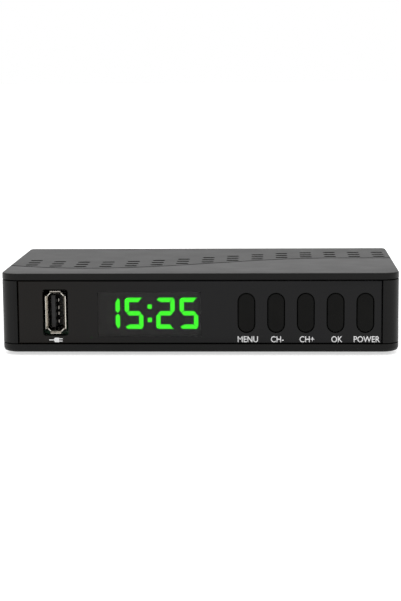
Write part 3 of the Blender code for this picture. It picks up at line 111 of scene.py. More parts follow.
# Sockets
CONTACT_SKIN = 0.00004
HOST_CONTACT_SHARES = (-0.3125, -0.0893, 0.0893, 0.3125)
HOST_CONTACT_WIDTH = 0.0010
HOST_CONTACT_LENGTH = 0.0062
HOST_CONTACT_FRONT = 0.0044
HOST_TONGUE_RIGHT = 0.0028
TUBE_EDGE = 0.00015
SCART_COLUMNS = 10
SCART_COLUMN_PITCH = 0.00381
SCART_ROW_PITCH = 0.0046
SCART_CONTACT_SIDES = (0.0004, 0.0022)
SCART_CONTACT_SETBACK = 0.0024
SCART_CONTACT_LENGTH = 0.0045
PICTURE_CONTACTS = 10
PICTURE_CONTACT_PITCH = 0.0010
PICTURE_CONTACT_WIDTH = 0.0004
PICTURE_TONGUE_THICKNESS = 0.0011
TUNER_LID_INSET = 0.0008
TUNER_LID_PROUD = 0.0002

# Inside
BOARD_CLEARANCE = 0.0003
TALL_PART = 0.008
SQUARE_RATIO = 1.3
INDUCTOR_WAIST_SHARE = 0.78
CRYSTAL_RIM = 0.0003
LEG_PITCH = 0.00127
LEG_WIDTH = 0.0005
LEG_THICKNESS = 0.0002
LEG_REACH = 0.0010

# Screws and feet, with their shares of the head's or the foot's radius
SHANK_SHARE = 0.5
THREAD_PITCH = 0.0009
THREAD_ROOT_SHARE = 0.75
FULL_SHARE = 0.95
HEAD_FLAT_SHARE = 0.55
HEAD_DOME_SHARE = 0.9
CROSS_SETBACK = 0.00001
SCREW_STEPS = 24
FOOT_RIM_SHARE = 0.6
FOOT_DISH_SHARE = 0.55

# Finishes and studio
SMOOTHEST = 0.02
MASK_SHADE = 0.8
# Shares of the lens's width: the painted warm light on its left end is full up to the first and gone from the
# second
PAINTED_LIGHT_FULL_TO = 0.05
PAINTED_LIGHT_GONE_FROM = 0.45
FLOOR_HALF = 6.0
SENSOR_WIDTH = 36
SUN_SPREAD = math.radians(70)
SUN_TILT = math.radians(-18)

# The slot that each finish belongs to, in most under its own name. What is printed or lit has none
SAME_SLOT = (
    "anodised", "black_insulation", "case_plastic", "chip_resin", "key_plastic", "steel", "white_insulation",
)
SLOTS = {
    **{name: name for name in SAME_SLOT},
    "ferrite": "chip_resin",
    "gold": "nickel_plate",
    "nickel": "nickel_plate",
    "orange_insulation": "black_insulation",
    "painted_lens": "smoked_lens",
    "rubber": "foot_rubber",
    "sleeve": "chip_resin",
    "solder_mask": "board_laminate",
    "tin": "tin_plate",
}

# Plain finishes: the colour's group and name, the roughness, and what differs from the usual finish
PLAIN_FINISHES = {
    "anodised": (
        "inside", "anodised_colour", 0.42,
        dict(metallic=1, mottle=0.08, mottle_scale=300, stretch=(1, 0.04, 1), spread=0.1),
    ),
    "black_insulation": ("sockets", "black_colour", 0.5, dict(gloss=0.35, mottle=0.2)),
    "chip_resin": ("inside", "resin_colour", 0.55, dict(gloss=0.4, grain_scale=5000)),
    "ferrite": ("inside", "ferrite_colour", 0.65, dict(mottle=0.25, mottle_scale=1200)),
    "gold": (
        "sockets", "gold_colour", 0.24, dict(metallic=1, mottle=0.05, mottle_scale=700, grain_depth=0.000002)
    ),
    "nickel": (
        "sockets", "nickel_colour", 0.26,
        dict(metallic=1, mottle=0.06, mottle_scale=500, spread=0.08, grain_depth=0.000003),
    ),
    "orange_insulation": ("sockets", "ring_colour", 0.45, dict(mottle=0.06)),
    "rubber": ("case", "rubber_colour", 0.85, dict(gloss=0.3, mottle=0.25, grain_scale=2600)),
    "sleeve": ("inside", "sleeve_colour", 0.32, dict(mottle=0.1, grain_depth=0.000002)),
    "steel": (
        "case", "steel_colour", 0.34,
        dict(metallic=1, mottle=0.12, mottle_scale=900, grain_scale=2400, spread=0.1),
    ),
    "tin": (
        "sockets", "tin_colour", 0.34,
        dict(metallic=1, mottle=0.10, mottle_scale=420, spread=0.12, grain_depth=0.000005),
    ),
    "unlit_bar": ("display", "unlit_colour", 0.55, dict(gloss=0.2, mottle=0.1)),
    "white_ink": ("front", "legend_colour", 0.55, dict(gloss=0.2, mottle=0.04, mottle_scale=2500)),
    "white_insulation": ("sockets", "white_colour", 0.45, dict(mottle=0.03)),
}


def colour_property(name, default, description):
    return FloatVectorProperty(
        name=name, description=description, subtype="COLOR", size=3, min=0, max=1, default=default
    )


def length_property(name, default, description):
    return FloatProperty(
        name=name, description=description, default=default, min=0, unit="LENGTH", precision=5
    )


def share_property(name, default, description):
    return FloatProperty(name=name, description=description, default=default, min=0, max=1, subtype="FACTOR")


def angle_property(name, default, description):
    return FloatProperty(name=name, description=description, default=default, subtype="ANGLE")


class CaseLook(PropertyGroup):
    plastic_colour: colour_property("Case", (0.0052, 0.0051, 0.0049), "Colour of the moulded case")
    plastic_roughness: share_property("Case roughness", 0.42, "Roughness of the moulded case")
    plastic_gloss: share_property("Case gloss", 0.15, "Strength of the case's reflection")
    edge_round: length_property("Edge", 0.00012, "Rounding of the case's edges")
    rubber_colour: colour_property("Feet", (0.012, 0.012, 0.012), "Colour of the rubber feet")
    steel_colour: colour_property("Screws", (0.34, 0.34, 0.35), "Colour of the screws")
    cross_width: length_property("Screw cross width", 0.00060, "Width of the screws' cross recess")
    cross_depth: length_property("Screw cross depth", 0.00050, "Depth of the screws' cross recess")


class FrontLook(PropertyGroup):
    lens_colour: colour_property("Lens", (0.0056, 0.0055, 0.0059), "Colour of the smoked lens")
    # Colour of the painted warm light at the lens's left end
    lens_painted_light_colour: colour_property("Lens left", (0.0056, 0.0042, 0.0030), "Colour at the lens's left end")
    lens_cover: share_property("Lens cover", 0.50, "How much the smoked lens hides what is behind it")
    lens_roughness: share_property("Lens roughness", 0.16, "Roughness of the lens")
    lens_gloss: share_property("Lens gloss", 0.15, "Strength of the lens's reflection")
    key_colour: colour_property("Keys", (0.0045, 0.0044, 0.0040), "Colour of the key caps")
    key_gloss: share_property("Key gloss", 0.10, "Strength of the key caps' reflection")
    key_edge: length_property("Key edge", 0.00045, "Rounding of the key caps' front edge")
    key_crown: length_property("Key crown", 0.00008, "How far a key cap's middle stands before its edge")
    legend_colour: colour_property("Legends", (0.92, 0.92, 0.92), "Colour of the printed legends")
    legend_low: length_property("Legend height", 0.00338, "Height of the legends over the underside")
    legend_tall: length_property("Legend size", 0.00196, "Height of the legends' capitals")
    legend_right: length_property("Legend shift", 0.00040, "How far a legend's middle is right of its key's")
    ink_proud: length_property("Ink", 0.00003, "Thickness of the print")


class DisplayLook(PropertyGroup):
    lit_colour: colour_property("Lit", (0.040, 0.90, 0.012), "Colour of the lit bars as they are seen")
    unlit_colour: colour_property("Unlit", (0.004, 0.005, 0.004), "Colour of the unlit bars")
    digit_width: length_property("Digit width", 0.00605, "Width of a digit")
    digit_height: length_property("Digit height", 0.01025, "Height of a digit")
    digit_pitch: length_property("Digit pitch", 0.00768, "Distance between two digits of a pair")
    digit_from_colon: length_property("From colon", 0.00514, "Distance from the colon to the next digit")
    bar_width: length_property("Bar width", 0.00140, "Width of a digit's bar")
    bar_gap: length_property("Bar gap", 0.00020, "Gap between two bars")
    colon_side: length_property("Colon dot", 0.00140, "Side of a colon's dot")
    colon_spread: length_property("Colon spread", 0.00440, "Distance between the colon's dots")
    relief: length_property("Relief", 0.0004, "How far the bars stand before the display's face")


class SocketLook(PropertyGroup):
    nickel_colour: colour_property("Nickel", (0.74, 0.70, 0.63), "Colour of the nickel plate")
    tin_colour: colour_property("Tin", (0.66, 0.66, 0.65), "Colour of the tinned sheet")
    gold_colour: colour_property("Gold", (0.83, 0.62, 0.26), "Colour of the gold contacts")
    black_colour: colour_property("Black insulation", (0.010, 0.010, 0.010), "Colour of the black mouldings")
    white_colour: colour_property("White insulation", (0.70, 0.69, 0.65), "Colour of the white mouldings")
    ring_colour: colour_property("Audio ring", (0.62, 0.19, 0.02), "Colour of the digital audio socket")


class InsideLook(PropertyGroup):
    laminate_colour: colour_property("Laminate", (0.005, 0.050, 0.018), "Colour of the boards' solder mask")
    track_colour: colour_property("Tracks", (0.012, 0.085, 0.032), "Colour of the tracks under the mask")
    resin_colour: colour_property("Chips", (0.020, 0.020, 0.022), "Colour of the chips")
    anodised_colour: colour_property("Heat sink", (0.50, 0.50, 0.51), "Colour of the heat sink")
    sleeve_colour: colour_property("Capacitors", (0.010, 0.016, 0.045), "Colour of the capacitors' sleeve")
    ferrite_colour: colour_property("Inductor", (0.045, 0.045, 0.048), "Colour of the ferrite")


class StageLook(PropertyGroup):
    camera_right: length_property("Camera right", 0.02287, "Camera's place to the right of the case's middle")
    camera_away: length_property("Camera away", 0.49895, "Camera's distance in front of the lens")
    camera_up: length_property("Camera up", 0.09406, "Camera's height over the case's underside")
    camera_turn: angle_property("Turn", 0.04488, "Turn toward the left")
    camera_dip: angle_property("Dip", 0.15285, "Tilt below the horizon")
    camera_roll: angle_property("Roll", -0.00811, "Roll about the view")
    focal_length: FloatProperty(
        name="Focal length", description="Lens in millimetres over a 36 mm long side", default=93.22, min=1
    )
    floor_colour: colour_property("Floor", (0.80, 0.80, 0.80), "Colour of the floor sheet")
    floor_glow: share_property("Floor glow", 0.60, "White that the floor adds where it is seen")
    world_level: share_property("World", 0.90, "Level of the light from all round")
    sun_level: FloatProperty(name="Sun", description="Strength of the soft lamp overhead", default=0.6, min=0)


def look(name):
    return getattr(bpy.context.scene, f"receiver_{name}")


# Shapes


def add_object(name, data):
    made = bpy.data.objects.new(name, data)
    bpy.context.scene.collection.objects.link(made)
    return made


def mesh_of(name, work):
    mesh = bpy.data.meshes.new(name)
    work.to_mesh(mesh)
    work.free()
    return mesh


def mesh_piece(name, work, finish_name, node, slot=None, smooth=True):
    """Turns a bmesh into a piece at the origin, in one of the finishes, that rides on a node's body."""
    mesh = mesh_of(name, work)
    if smooth:
        mesh.shade_smooth()
        mesh.set_sharp_from_angle(angle=SHARP_ANGLE)
    mesh.materials.append(finish_of(finish_name))
    piece = add_object(name, mesh)
    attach(piece, frame["nodes"][node]["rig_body"])
    slot = slot or SLOTS.get(finish_name)
    return piece


def middle_of(node):
    """How far right and how high a node's middle is."""
    low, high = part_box(node)
    return (low.x + high.x) / 2, (low.z + high.z) / 2


def corners_of(node, along):
    """Each corner of a round node, as its distance from the node's axis and its place along it."""
    low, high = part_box(node)
    middle = (low + high) / 2
    corners = []
    for point in frame["nodes"][node].data.vertices:
        away = point.co - middle
        away[along] = 0
        corners.append((away.length, point.co[along]))
    return corners


def row_of(middle, count, pitch):
    """Places in a row, evenly about its middle."""
    return [middle + (index - (count - 1) / 2) * pitch for index in range(count)]


def merged_copy(node):
    """A bmesh of a CAD node with its triangles joined up."""
    work = bmesh.new()
    work.from_mesh(frame["nodes"][node].data)
    bmesh.ops.remove_doubles(work, verts=work.verts, dist=MERGE_DISTANCE)
    bmesh.ops.dissolve_limit(work, angle_limit=FLAT_ANGLE, verts=work.verts, edges=work.edges)
    return work


def turn_points(work, points, angle, axis):
    """Turns points about an axis through the origin."""
    bmesh.ops.rotate(work, verts=points, cent=(0, 0, 0), matrix=Matrix.Rotation(angle, 3, axis))


def cut(work, place, facing, clear=False):
    """Cuts a bmesh at a plane and, where asked, clears what is on the side it faces."""
    bmesh.ops.bisect_plane(
        work, geom=work.verts[:] + work.edges[:] + work.faces[:], dist=MERGE_DISTANCE, plane_co=place,
        plane_no=facing, clear_outer=clear,
    )


def round_edges(piece, width):
    bevel = piece.modifiers.new("edge", "BEVEL")
    bevel.width = width
    bevel.segments = 2
    bevel.limit_method = "ANGLE"
    bevel.angle_limit = SHARP_ANGLE
    bevel.harden_normals = True


def dressed(node, finish_name, edge=0.0):
    """A piece in a CAD node's own shape, with smooth curves, a rounded edge and a better finish."""
    piece = mesh_piece(f"{node}_dressed", merged_copy(node), finish_name, node)
    if edge:
        round_edges(piece, edge)
    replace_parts(piece, node)


def add_block(work, low, high, edge=0.0):
    """Adds a block between two corners to a bmesh, with its edges bevelled."""
    low, high = Vector(low), Vector(high)
    points = bmesh.ops.create_cube(work, size=1)["verts"]
    bmesh.ops.scale(work, vec=high - low, verts=points)
    bmesh.ops.translate(work, vec=(low + high) / 2, verts=points)
    if edge:
        edges = list({side for point in points for side in point.link_edges})
        bmesh.ops.bevel(
            work, geom=edges, offset=edge, segments=2, profile=0.5, affect="EDGES", material=-1,
            clamp_overlap=True,
        )


def blocks_piece(name, blocks, finish_name, node, edge=0.0, slot=None):
    work = bmesh.new()
    for low, high in blocks:
        add_block(work, low, high, edge)
    return mesh_piece(name, work, finish_name, node, slot)


def add_ring(work, radius, straight, depth, centre, steps):
    """Adds an upright loop with round ends, facing along Y. With nothing straight it is a circle."""
    points = bmesh.ops.create_circle(work, segments=steps, radius=radius)["verts"]
    edges = list({edge for point in points for edge in point.link_edges})
    turn_points(work, points, math.pi / steps, "Z")
    for half in (-1, 1):
        side = [point for point in points if point.co.y * half > 0]
        bmesh.ops.translate(work, vec=(0, half * straight / 2, 0), verts=side)
    turn_points(work, points, math.pi / 2, "X")
    bmesh.ops.translate(work, vec=(centre[0], depth, centre[1]), verts=points)
    return points, edges


def add_loft(work, rings, centre, steps=ROUND_STEPS):
    """Adds a closed solid through rings of (radius, straight length, depth)."""
    loops = [add_ring(work, radius, straight, depth, centre, steps) for radius, straight, depth in rings]
    made = [work.faces.new(points) for points, edges in (loops[0], loops[-1])]
    for near, far in zip(loops, loops[1:]):
        made += bmesh.ops.bridge_loops(work, edges=near[1] + far[1])["faces"]
    bmesh.ops.recalc_face_normals(work, faces=made)
    return [point for points, edges in loops for point in points]


def add_turned(work, profile, place, axis="Y", steps=ROUND_STEPS):
    """Adds a profile of (radius, distance) points turned about an axis. Off the axis it is closed."""
    points = [work.verts.new((radius, 0, distance)) for radius, distance in profile]
    edges = [work.edges.new(pair) for pair in zip(points, points[1:])]
    if profile[0][0] > 0:
        edges.append(work.edges.new((points[-1], points[0])))
    before = set(work.verts) - set(points)
    bmesh.ops.spin(
        work, geom=points + edges, cent=(0, 0, 0), axis=(0, 0, 1), angle=math.tau, steps=steps, use_merge=True
    )
    made = [point for point in work.verts if point not in before]
    bmesh.ops.remove_doubles(work, verts=made, dist=MERGE_DISTANCE)
    made = [point for point in work.verts if point not in before]
    faces = list({face for point in made for face in point.link_faces})
    bmesh.ops.recalc_face_normals(work, faces=faces)
    if axis == "Y":
        turn_points(work, made, -math.pi / 2, "X")
    bmesh.ops.translate(work, vec=place, verts=made)
    return made


def turned_piece(name, profile, place, finish_name, node, axis="Y"):
    work = bmesh.new()
    add_turned(work, profile, place, axis)
    return mesh_piece(name, work, finish_name, node)


def thicken(work, faces, depth):
    """Makes flat upright faces into solids, by a depth along Y."""
    grown = bmesh.ops.extrude_face_region(work, geom=faces, use_keep_orig=True)["geom"]
    points = [item for item in grown if isinstance(item, bmesh.types.BMVert)]
    bmesh.ops.translate(work, vec=(0, depth, 0), verts=points)


def plates_piece(name, outlines, front, back, finish_name, node):
    """Upright plates with outlines of (right, up) points, as thick as from front to back."""
    work = bmesh.new()
    for outline in outlines:
        face = work.faces.new([work.verts.new((right, front, up)) for right, up in outline])
        thicken(work, [face], back - front)
    bmesh.ops.recalc_face_normals(work, faces=work.faces)
    return mesh_piece(name, work, finish_name, node, smooth=False)


# Finishes


def shader_of(material):
    return material.node_tree.nodes["Principled BSDF"]


def set_inputs(tree, node, inputs):
    """Sets a node's inputs, each to a value or to the output that feeds it."""
    for name, value in inputs.items():
        if isinstance(value, bpy.types.NodeSocket):
            tree.links.new(value, node.inputs[name])
        else:
            node.inputs[name].default_value = value


def add_node(tree, kind, inputs):
    node = tree.nodes.new(f"ShaderNode{kind}")
    set_inputs(tree, node, inputs)
    return node


def object_place(tree, stretch=(1, 1, 1)):
    """The piece's own coordinates in metres, stretched for a finish with a direction."""
    coordinates = add_node(tree, "TexCoord", {})
    mapping = add_node(tree, "Mapping", {"Vector": coordinates.outputs["Object"], "Scale": stretch})
    return mapping.outputs["Vector"]


def colour_ramp(tree, source, low_colour, high_colour, low=0.3, high=0.7):
    """A colour that goes from one to the other while its source goes from low to high."""
    node = add_node(tree, "ValToRGB", {"Fac": source})
    for end, place, colour in zip(node.color_ramp.elements, (low, high), (low_colour, high_colour)):
        end.position = place
        end.color = (*colour, 1)
    return node.outputs["Color"]


def finish(
    name, colour, roughness, metallic=0.0, gloss=0.5, mottle=0.15, mottle_scale=260, grain_scale=3200,
    grain_depth=0.00001, spread=0.05, stretch=(1, 1, 1),
):
    """A finish whose colour, roughness and surface vary a little over the piece."""
    material = bpy.data.materials.new(f"{name}_finish")
    material.use_nodes = True
    tree = material.node_tree
    place = object_place(tree, stretch)
    cloud = add_node(tree, "TexNoise", {"Vector": place, "Scale": mottle_scale, "Detail": 4}).outputs["Fac"]
    grain = add_node(tree, "TexNoise", {"Vector": place, "Scale": grain_scale, "Detail": 2}).outputs["Fac"]
    darker = [part * (1 - mottle) for part in colour]
    lighter = [min(part * (1 + mottle), 1) for part in colour]
    smoother, rougher = max(roughness - spread, SMOOTHEST), min(roughness + spread, 1)
    wear = add_node(tree, "MapRange", {"Value": cloud, "To Min": smoother, "To Max": rougher})
    bump = add_node(tree, "Bump", {"Height": grain, "Distance": grain_depth})
    set_inputs(tree, shader_of(material), {
        "Base Color": colour_ramp(tree, cloud, darker, lighter),
        "Roughness": wear.outputs["Result"],
        "Normal": bump.outputs["Normal"],
        "Metallic": metallic,
        "Specular IOR Level": gloss,
    })
    return material


def finish_of(name):
    """The material of a finish. A plain one is made the first time it is asked for."""
    made = bpy.data.materials.get(f"{name}_finish")
    if made:
        return made
    group, colour, roughness, rest = PLAIN_FINISHES[name]
    return finish(name, getattr(look(group), colour), roughness, **rest)


def case_plastic():
    tone = look("case")
    return finish(
        "case_plastic", tone.plastic_colour, tone.plastic_roughness, gloss=tone.plastic_gloss, mottle=0.2,
        mottle_scale=120, grain_scale=4200, grain_depth=0.000012,
    )


def key_plastic():
    tone = look("front")
    return finish("key_plastic", tone.key_colour, 0.62, gloss=tone.key_gloss, mottle=0.2, grain_scale=5200)


def solder_mask():
    """Green mask with the lines of the tracks showing through."""
    tone = look("inside")
    mask = tone.laminate_colour
    material = finish("solder_mask", mask, 0.38, mottle=0.08, grain_depth=0.000004)
    tree = material.node_tree
    tracks = add_node(tree, "TexBrick", {
        "Vector": object_place(tree),
        "Scale": 160,
        "Mortar Size": 0.06,
        "Color1": (*mask, 1),
        "Color2": (*[part * MASK_SHADE for part in mask], 1),
        "Mortar": (*tone.track_colour, 1),
    })
    set_inputs(tree, shader_of(material), {"Base Color": tracks.outputs["Color"]})
    return material


def smoked_acrylic(name, cover=1.0):
    """Dark glossy sheet with painted warm light toward its left end. Where it covers less, lit bars show
    through.
    """
    tone = look("front")
    material = finish(
        name, tone.lens_colour, tone.lens_roughness, gloss=min(tone.lens_gloss / cover, 1), spread=0.04,
        mottle_scale=60, grain_scale=120, grain_depth=0.0000006,
    )
    tree = material.node_tree
    split = add_node(tree, "SeparateXYZ", {"Vector": object_place(tree)})
    ends = {"Value": split.outputs["X"], "From Min": LENS_LOW.x, "From Max": LENS_HIGH.x}
    across = add_node(tree, "MapRange", ends).outputs["Result"]
    # The lens's colour, with painted warm light at its left end, both raised for the cover
    left, right = ([part / cover for part in colour] for colour in (tone.lens_painted_light_colour, tone.lens_colour))
    painted_light_tint = colour_ramp(tree, across, left, right, PAINTED_LIGHT_FULL_TO, PAINTED_LIGHT_GONE_FROM)
    set_inputs(tree, shader_of(material), {"Base Color": painted_light_tint, "Alpha": cover})
    return material


def lit_green():
    """A lit bar, as strong as it needs to be to keep its colour behind the smoked lens's two faces."""
    colour = look("display").lit_colour
    material = finish("lit_green", colour, 0.5, gloss=0.1, mottle=0.02)
    strength = 1 / (1 - look("front").lens_cover) ** 2
    glow = {"Emission Color": (*colour, 1), "Emission Strength": strength}
    set_inputs(material.node_tree, shader_of(material), glow)
    return material


# Pieces


class RECEIVER_OT_case(Operator):
    """Lid, tray, front frame and rear panel in moulded plastic with rounded edges"""

    bl_idname = "receiver.case"
    bl_label = "Case"

    def execute(self, context):
        case_plastic()
        for node in ("top_cover", "bottom_tray", "front_frame", "rear_panel"):
            dressed(node, "case_plastic", look("case").edge_round)
        return {"FINISHED"}


class RECEIVER_OT_lens(Operator):
    """Smoked front lens, painted black behind except at the window over the display"""

    bl_idname = "receiver.lens"
    bl_label = "Lens"

    def execute(self, context):
        low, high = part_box("display_body")
        work = merged_copy("front_lens")
        for facing in ((1, 0, 0), (0, 0, 1)):
            for place in (low, high):
                cut(work, place, facing)
        for face in work.faces:
            middle = face.calc_center_median()
            face.material_index = int(low.x < middle.x < high.x and low.z < middle.z < high.z)
        smoked_acrylic("painted_lens")
        lens = mesh_piece("lens_dressed", work, "painted_lens", "front_lens")
        lens.data.materials.append(smoked_acrylic("clear_lens", look("front").lens_cover))
        round_edges(lens, look("case").edge_round)
        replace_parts(lens, "front_lens")
        return {"FINISHED"}


class RECEIVER_OT_keys(Operator):
    """Crowned key caps with their flanges and stems, the plungers they push and the switches"""

    bl_idname = "receiver.keys"
    bl_label = "Keys"

    def execute(self, context):
        key_plastic()
        for name in KEY_NAMES:
            key_piece(name)
            plunger_piece(name)
            switch_pieces(name)
        return {"FINISHED"}


def key_piece(name):
    tone = look("front")
    node = f"key_{name}"
    low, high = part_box(node)
    radius, straight = KEY_CAP_WIDTH / 2, KEY_CAP_HEIGHT - KEY_CAP_WIDTH
    flange_radius = (high.x - low.x) / 2
    flange_back = high.y - KEY_STEM_LENGTH
    flange_front = flange_back - KEY_FLANGE_THICKNESS
    face = low.y + tone.key_crown
    half = tone.key_edge / 2
    rings = [
        (radius / 3, straight, low.y),
        (radius * 2 / 3, straight, low.y + tone.key_crown / 3),
        (radius - tone.key_edge, straight, face),
        (radius - half, straight, face + half / 3),
        (radius - half / 4, straight, face + half),
        (radius, straight, face + tone.key_edge),
        (radius, straight, flange_front),
        (flange_radius, straight, flange_front),
        (flange_radius, straight, flange_back),
        (KEY_STEM_RADIUS, 0, flange_back),
        (KEY_STEM_RADIUS, 0, high.y),
    ]
    work = bmesh.new()
    add_loft(work, rings, middle_of(node))
    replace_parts(mesh_piece(f"{name}_key_cap", work, "key_plastic", node), node)


def plunger_piece(name):
    node = f"plunger_{name}"
    low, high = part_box(node)
    radius = (high.x - low.x) / 2
    edge = radius / 8
    profile = [(0, high.y), (radius - edge, high.y), (radius, high.y - edge), (radius, low.y + edge)]
    profile += [(radius - edge, low.y), (0, low.y)]
    across, up = middle_of(f"key_{name}")
    piece = turned_piece(f"{name}_plunger", profile, (across, 0, up), "black_insulation", node)
    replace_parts(piece, node)


def switch_pieces(name):
    """The switch with its steel cover, and a rivet near each corner."""
    node = f"switch_{name}"
    dressed(node, "steel", look("case").edge_round)
    low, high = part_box(node)
    rivet = (high.x - low.x) * RIVET_SHARE
    inset = 2 * rivet
    profile = [(0, 0), (rivet, 0), (rivet * 3 / 4, -rivet / 3), (0, -rivet / 2)]
    work = bmesh.new()
    for across in (low.x + inset, high.x - inset):
        for up in (low.z + inset, high.z - inset):
            add_turned(work, profile, (across, low.y, up), steps=RIVET_STEPS)
    mesh_piece(f"{node}_rivets", work, "steel", node)


class RECEIVER_OT_display(Operator):
    """Clock display: black block with lit and unlit bars and a colon"""

    bl_idname = "receiver.display"
    bl_label = "Display"

    def execute(self, context):
        tone = look("display")
        node = "display_body"
        low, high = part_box(node)
        middle, up = middle_of(node)
        face = low.y + tone.relief
        edge = look("case").edge_round
        block = blocks_piece("display_block", [((low.x, face, low.z), high)], "black_insulation", node, edge)
        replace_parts(block, node)
        outer = tone.digit_from_colon + tone.digit_pitch
        places = (-outer, -tone.digit_from_colon, tone.digit_from_colon, outer)
        lit, unlit = [], []
        for digit, across in zip(CLOCK_DIGITS, places):
            for bar, state in zip(digit_bars((middle + across, up)), LIT_BARS[digit]):
                (lit if state == "1" else unlit).append(bar)
        lit += [colon_dot((middle, up + side * tone.colon_spread / 2)) for side in (-1, 1)]
        lit_green()
        plates_piece("lit_bars", lit, low.y, face, "lit_green", node)
        plates_piece("unlit_bars", unlit, low.y + tone.relief / 2, face, "unlit_bar", node)
        return {"FINISHED"}


def colon_dot(centre):
    """A square with cut corners."""
    half = look("display").colon_side / 2
    corner = half / 4
    across, up = centre
    outline = []
    for index, (right, above) in enumerate(((1, 1), (-1, 1), (-1, -1), (1, -1))):
        ends = [(right * (half - corner), above * half), (right * half, above * (half - corner))]
        outline += ends if index % 2 else reversed(ends)
    return [(across + x, up + y) for x, y in outline]


def digit_bars(centre):
    """Outlines of a digit's seven bars, row by row from the top, each longer outside than inside."""
    tone = look("display")
    wide, tall, half, gap = tone.digit_width / 2, tone.digit_height / 2, tone.bar_width / 2, tone.bar_gap
    top = [
        (-wide + gap, tall - half), (-wide + half + gap, tall), (wide - half / 2, tall),
        (wide - half, tall - half / 4), (wide - 2 * half - gap, tall - 2 * half),
        (-wide + 2 * half + gap, tall - 2 * half),
    ]
    middle = [(-wide + half, 0), (-wide + 2 * half, half), (wide - 2 * half, half)]
    middle += [(wide - half, 0), (wide - 2 * half, -half), (-wide + 2 * half, -half)]
    upright = [
        (wide, tall - half - gap), (wide - half / 3, tall - half / 3 - gap), (wide - half, tall - gap),
        (wide - 2 * half, tall - 2 * half - gap), (wide - 2 * half, half + gap), (wide - half, gap),
        (wide, half + gap),
    ]
    left = [(-x, y) for x, y in upright]
    bars = [top, left, upright, middle]
    bars += [[(x, -y) for x, y in bar] for bar in (left, upright, top)]
    across, up = centre
    return [[(across + x, up + y) for x, y in bar] for bar in bars]


class RECEIVER_OT_legends(Operator):
    """Printed legends under the keys and a plug pictogram under the host socket"""

    bl_idname = "receiver.legends"
    bl_label = "Legends"

    def execute(self, context):
        tone = look("front")
        up = CASE_UNDERSIDE + tone.legend_low
        for name, legend in zip(KEY_NAMES, LEGENDS):
            across = middle_of(f"key_{name}")[0] + tone.legend_right
            legend_piece(f"legend_{name}", legend, (across, LENS_FRONT, up))
        plug_pictogram()
        return {"FINISHED"}


def legend_piece(name, words, place):
    """Printed words as a thin solid that stands on a place, with its middle over it."""
    curve = bpy.data.curves.new(name, "FONT")
    curve.body = words
    curve.align_x = "CENTER"
    curve.size = 1
    curve.offset = LEGEND_BOLDNESS
    lettering = add_object(name, curve)
    bpy.context.view_layer.update()
    graph = bpy.context.evaluated_depsgraph_get()
    mesh = bpy.data.meshes.new_from_object(lettering.evaluated_get(graph))
    bpy.data.objects.remove(lettering)
    scale = look("front").legend_tall / max(point.co.y for point in mesh.vertices)
    work = bmesh.new()
    work.from_mesh(mesh)
    bpy.data.meshes.remove(mesh)
    bmesh.ops.scale(work, vec=(scale * LEGEND_NARROWING, scale, 1), verts=work.verts)
    turn_points(work, work.verts, math.pi / 2, "X")
    thicken(work, work.faces[:], -look("front").ink_proud)
    bmesh.ops.recalc_face_normals(work, faces=work.faces)
    bmesh.ops.translate(work, vec=place, verts=work.verts)
    mesh_piece(name, work, "white_ink", "front_lens", smooth=False)


def plug_pictogram():
    """A plug seen from the side: body, lead and two pins."""
    tone = look("front")
    across = middle_of("usb_shell")[0]
    up = CASE_UNDERSIDE + tone.legend_low + PLUG_HEIGHT / 2
    left, right = across - PLUG_WIDTH / 2, across + PLUG_WIDTH / 2
    neck, shoulder = left + PLUG_WIDTH * PLUG_LEAD_SHARE, right - PLUG_WIDTH * PLUG_PIN_SHARE
    half = PLUG_HEIGHT / 2
    quarter = half / 2
    line = half / 5
    outlines = [[
        (neck, up - quarter), (neck + quarter, up - half), (shoulder, up - half), (shoulder, up + half),
        (neck + quarter, up + half), (neck, up + quarter),
    ]]
    strokes = ((left, neck, up), (shoulder, right, up - quarter), (shoulder, right, up + quarter))
    for start, end, middle in strokes:
        low, high = middle - line, middle + line
        outlines.append([(start, low), (end, low), (end, high), (start, high)])
    front = LENS_FRONT - tone.ink_proud
    plates_piece("plug_pictogram", outlines, front, LENS_FRONT, "white_ink", "front_lens")


class RECEIVER_OT_host_socket(Operator):
    """Host socket at the front: bent shell, tongue and four contacts"""

    bl_idname = "receiver.host_socket"
    bl_label = "Host socket"

    def execute(self, context):
        edge = look("case").edge_round / 2
        dressed("usb_shell", "nickel", edge)
        dressed("usb_tongue", "black_insulation", edge)
        host_contacts()
        return {"FINISHED"}


def host_contacts():
    """Plated strips over the contacts' relief on the tongue."""
    low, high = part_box("usb_tongue")
    face = low.x + HOST_TONGUE_RIGHT
    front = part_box("usb_shell")[0].y + HOST_CONTACT_FRONT
    half = HOST_CONTACT_WIDTH / 2
    blocks = []
    for share in HOST_CONTACT_SHARES:
        up = (low.z + high.z) / 2 + share * (high.z - low.z)
        near = (face - CONTACT_SKIN, front, up - half)
        blocks.append((near, (face + CONTACT_SKIN, front + HOST_CONTACT_LENGTH, up + half)))
    blocks_piece("host_contacts", blocks, "nickel", "usb_tongue")


class RECEIVER_OT_rear_sockets(Operator):
    """Power, audio and video, digital picture, digital audio and aerial sockets at the rear"""

    bl_idname = "receiver.rear_sockets"
    bl_label = "Rear sockets"

    def execute(self, context):
        edge = look("case").edge_round
        dressed("dc_jack_body", "black_insulation", edge)
        dressed("scart_housing", "black_insulation", edge / 2)
        dressed("hdmi_shell", "nickel", edge / 2)
        dressed("hdmi_tongue", "black_insulation", edge / 2)
        dressed("coax_body", "orange_insulation", edge)
        dressed("tuner_can", "tin", edge)
        round_pin("dc_jack_pin")
        scart_contacts()
        picture_contacts()
        tubes = ("coax_barrel", "coax_contact", "aerial_in_barrel", "aerial_out_barrel", "aerial_in_contact")
        for node in tubes:
            round_tube(node, "nickel")
        for node in ("aerial_in_insulator", "aerial_out_insulator"):
            round_tube(node, "white_insulation")
        round_pin("aerial_out_pin")
        tuner_lid()
        return {"FINISHED"}


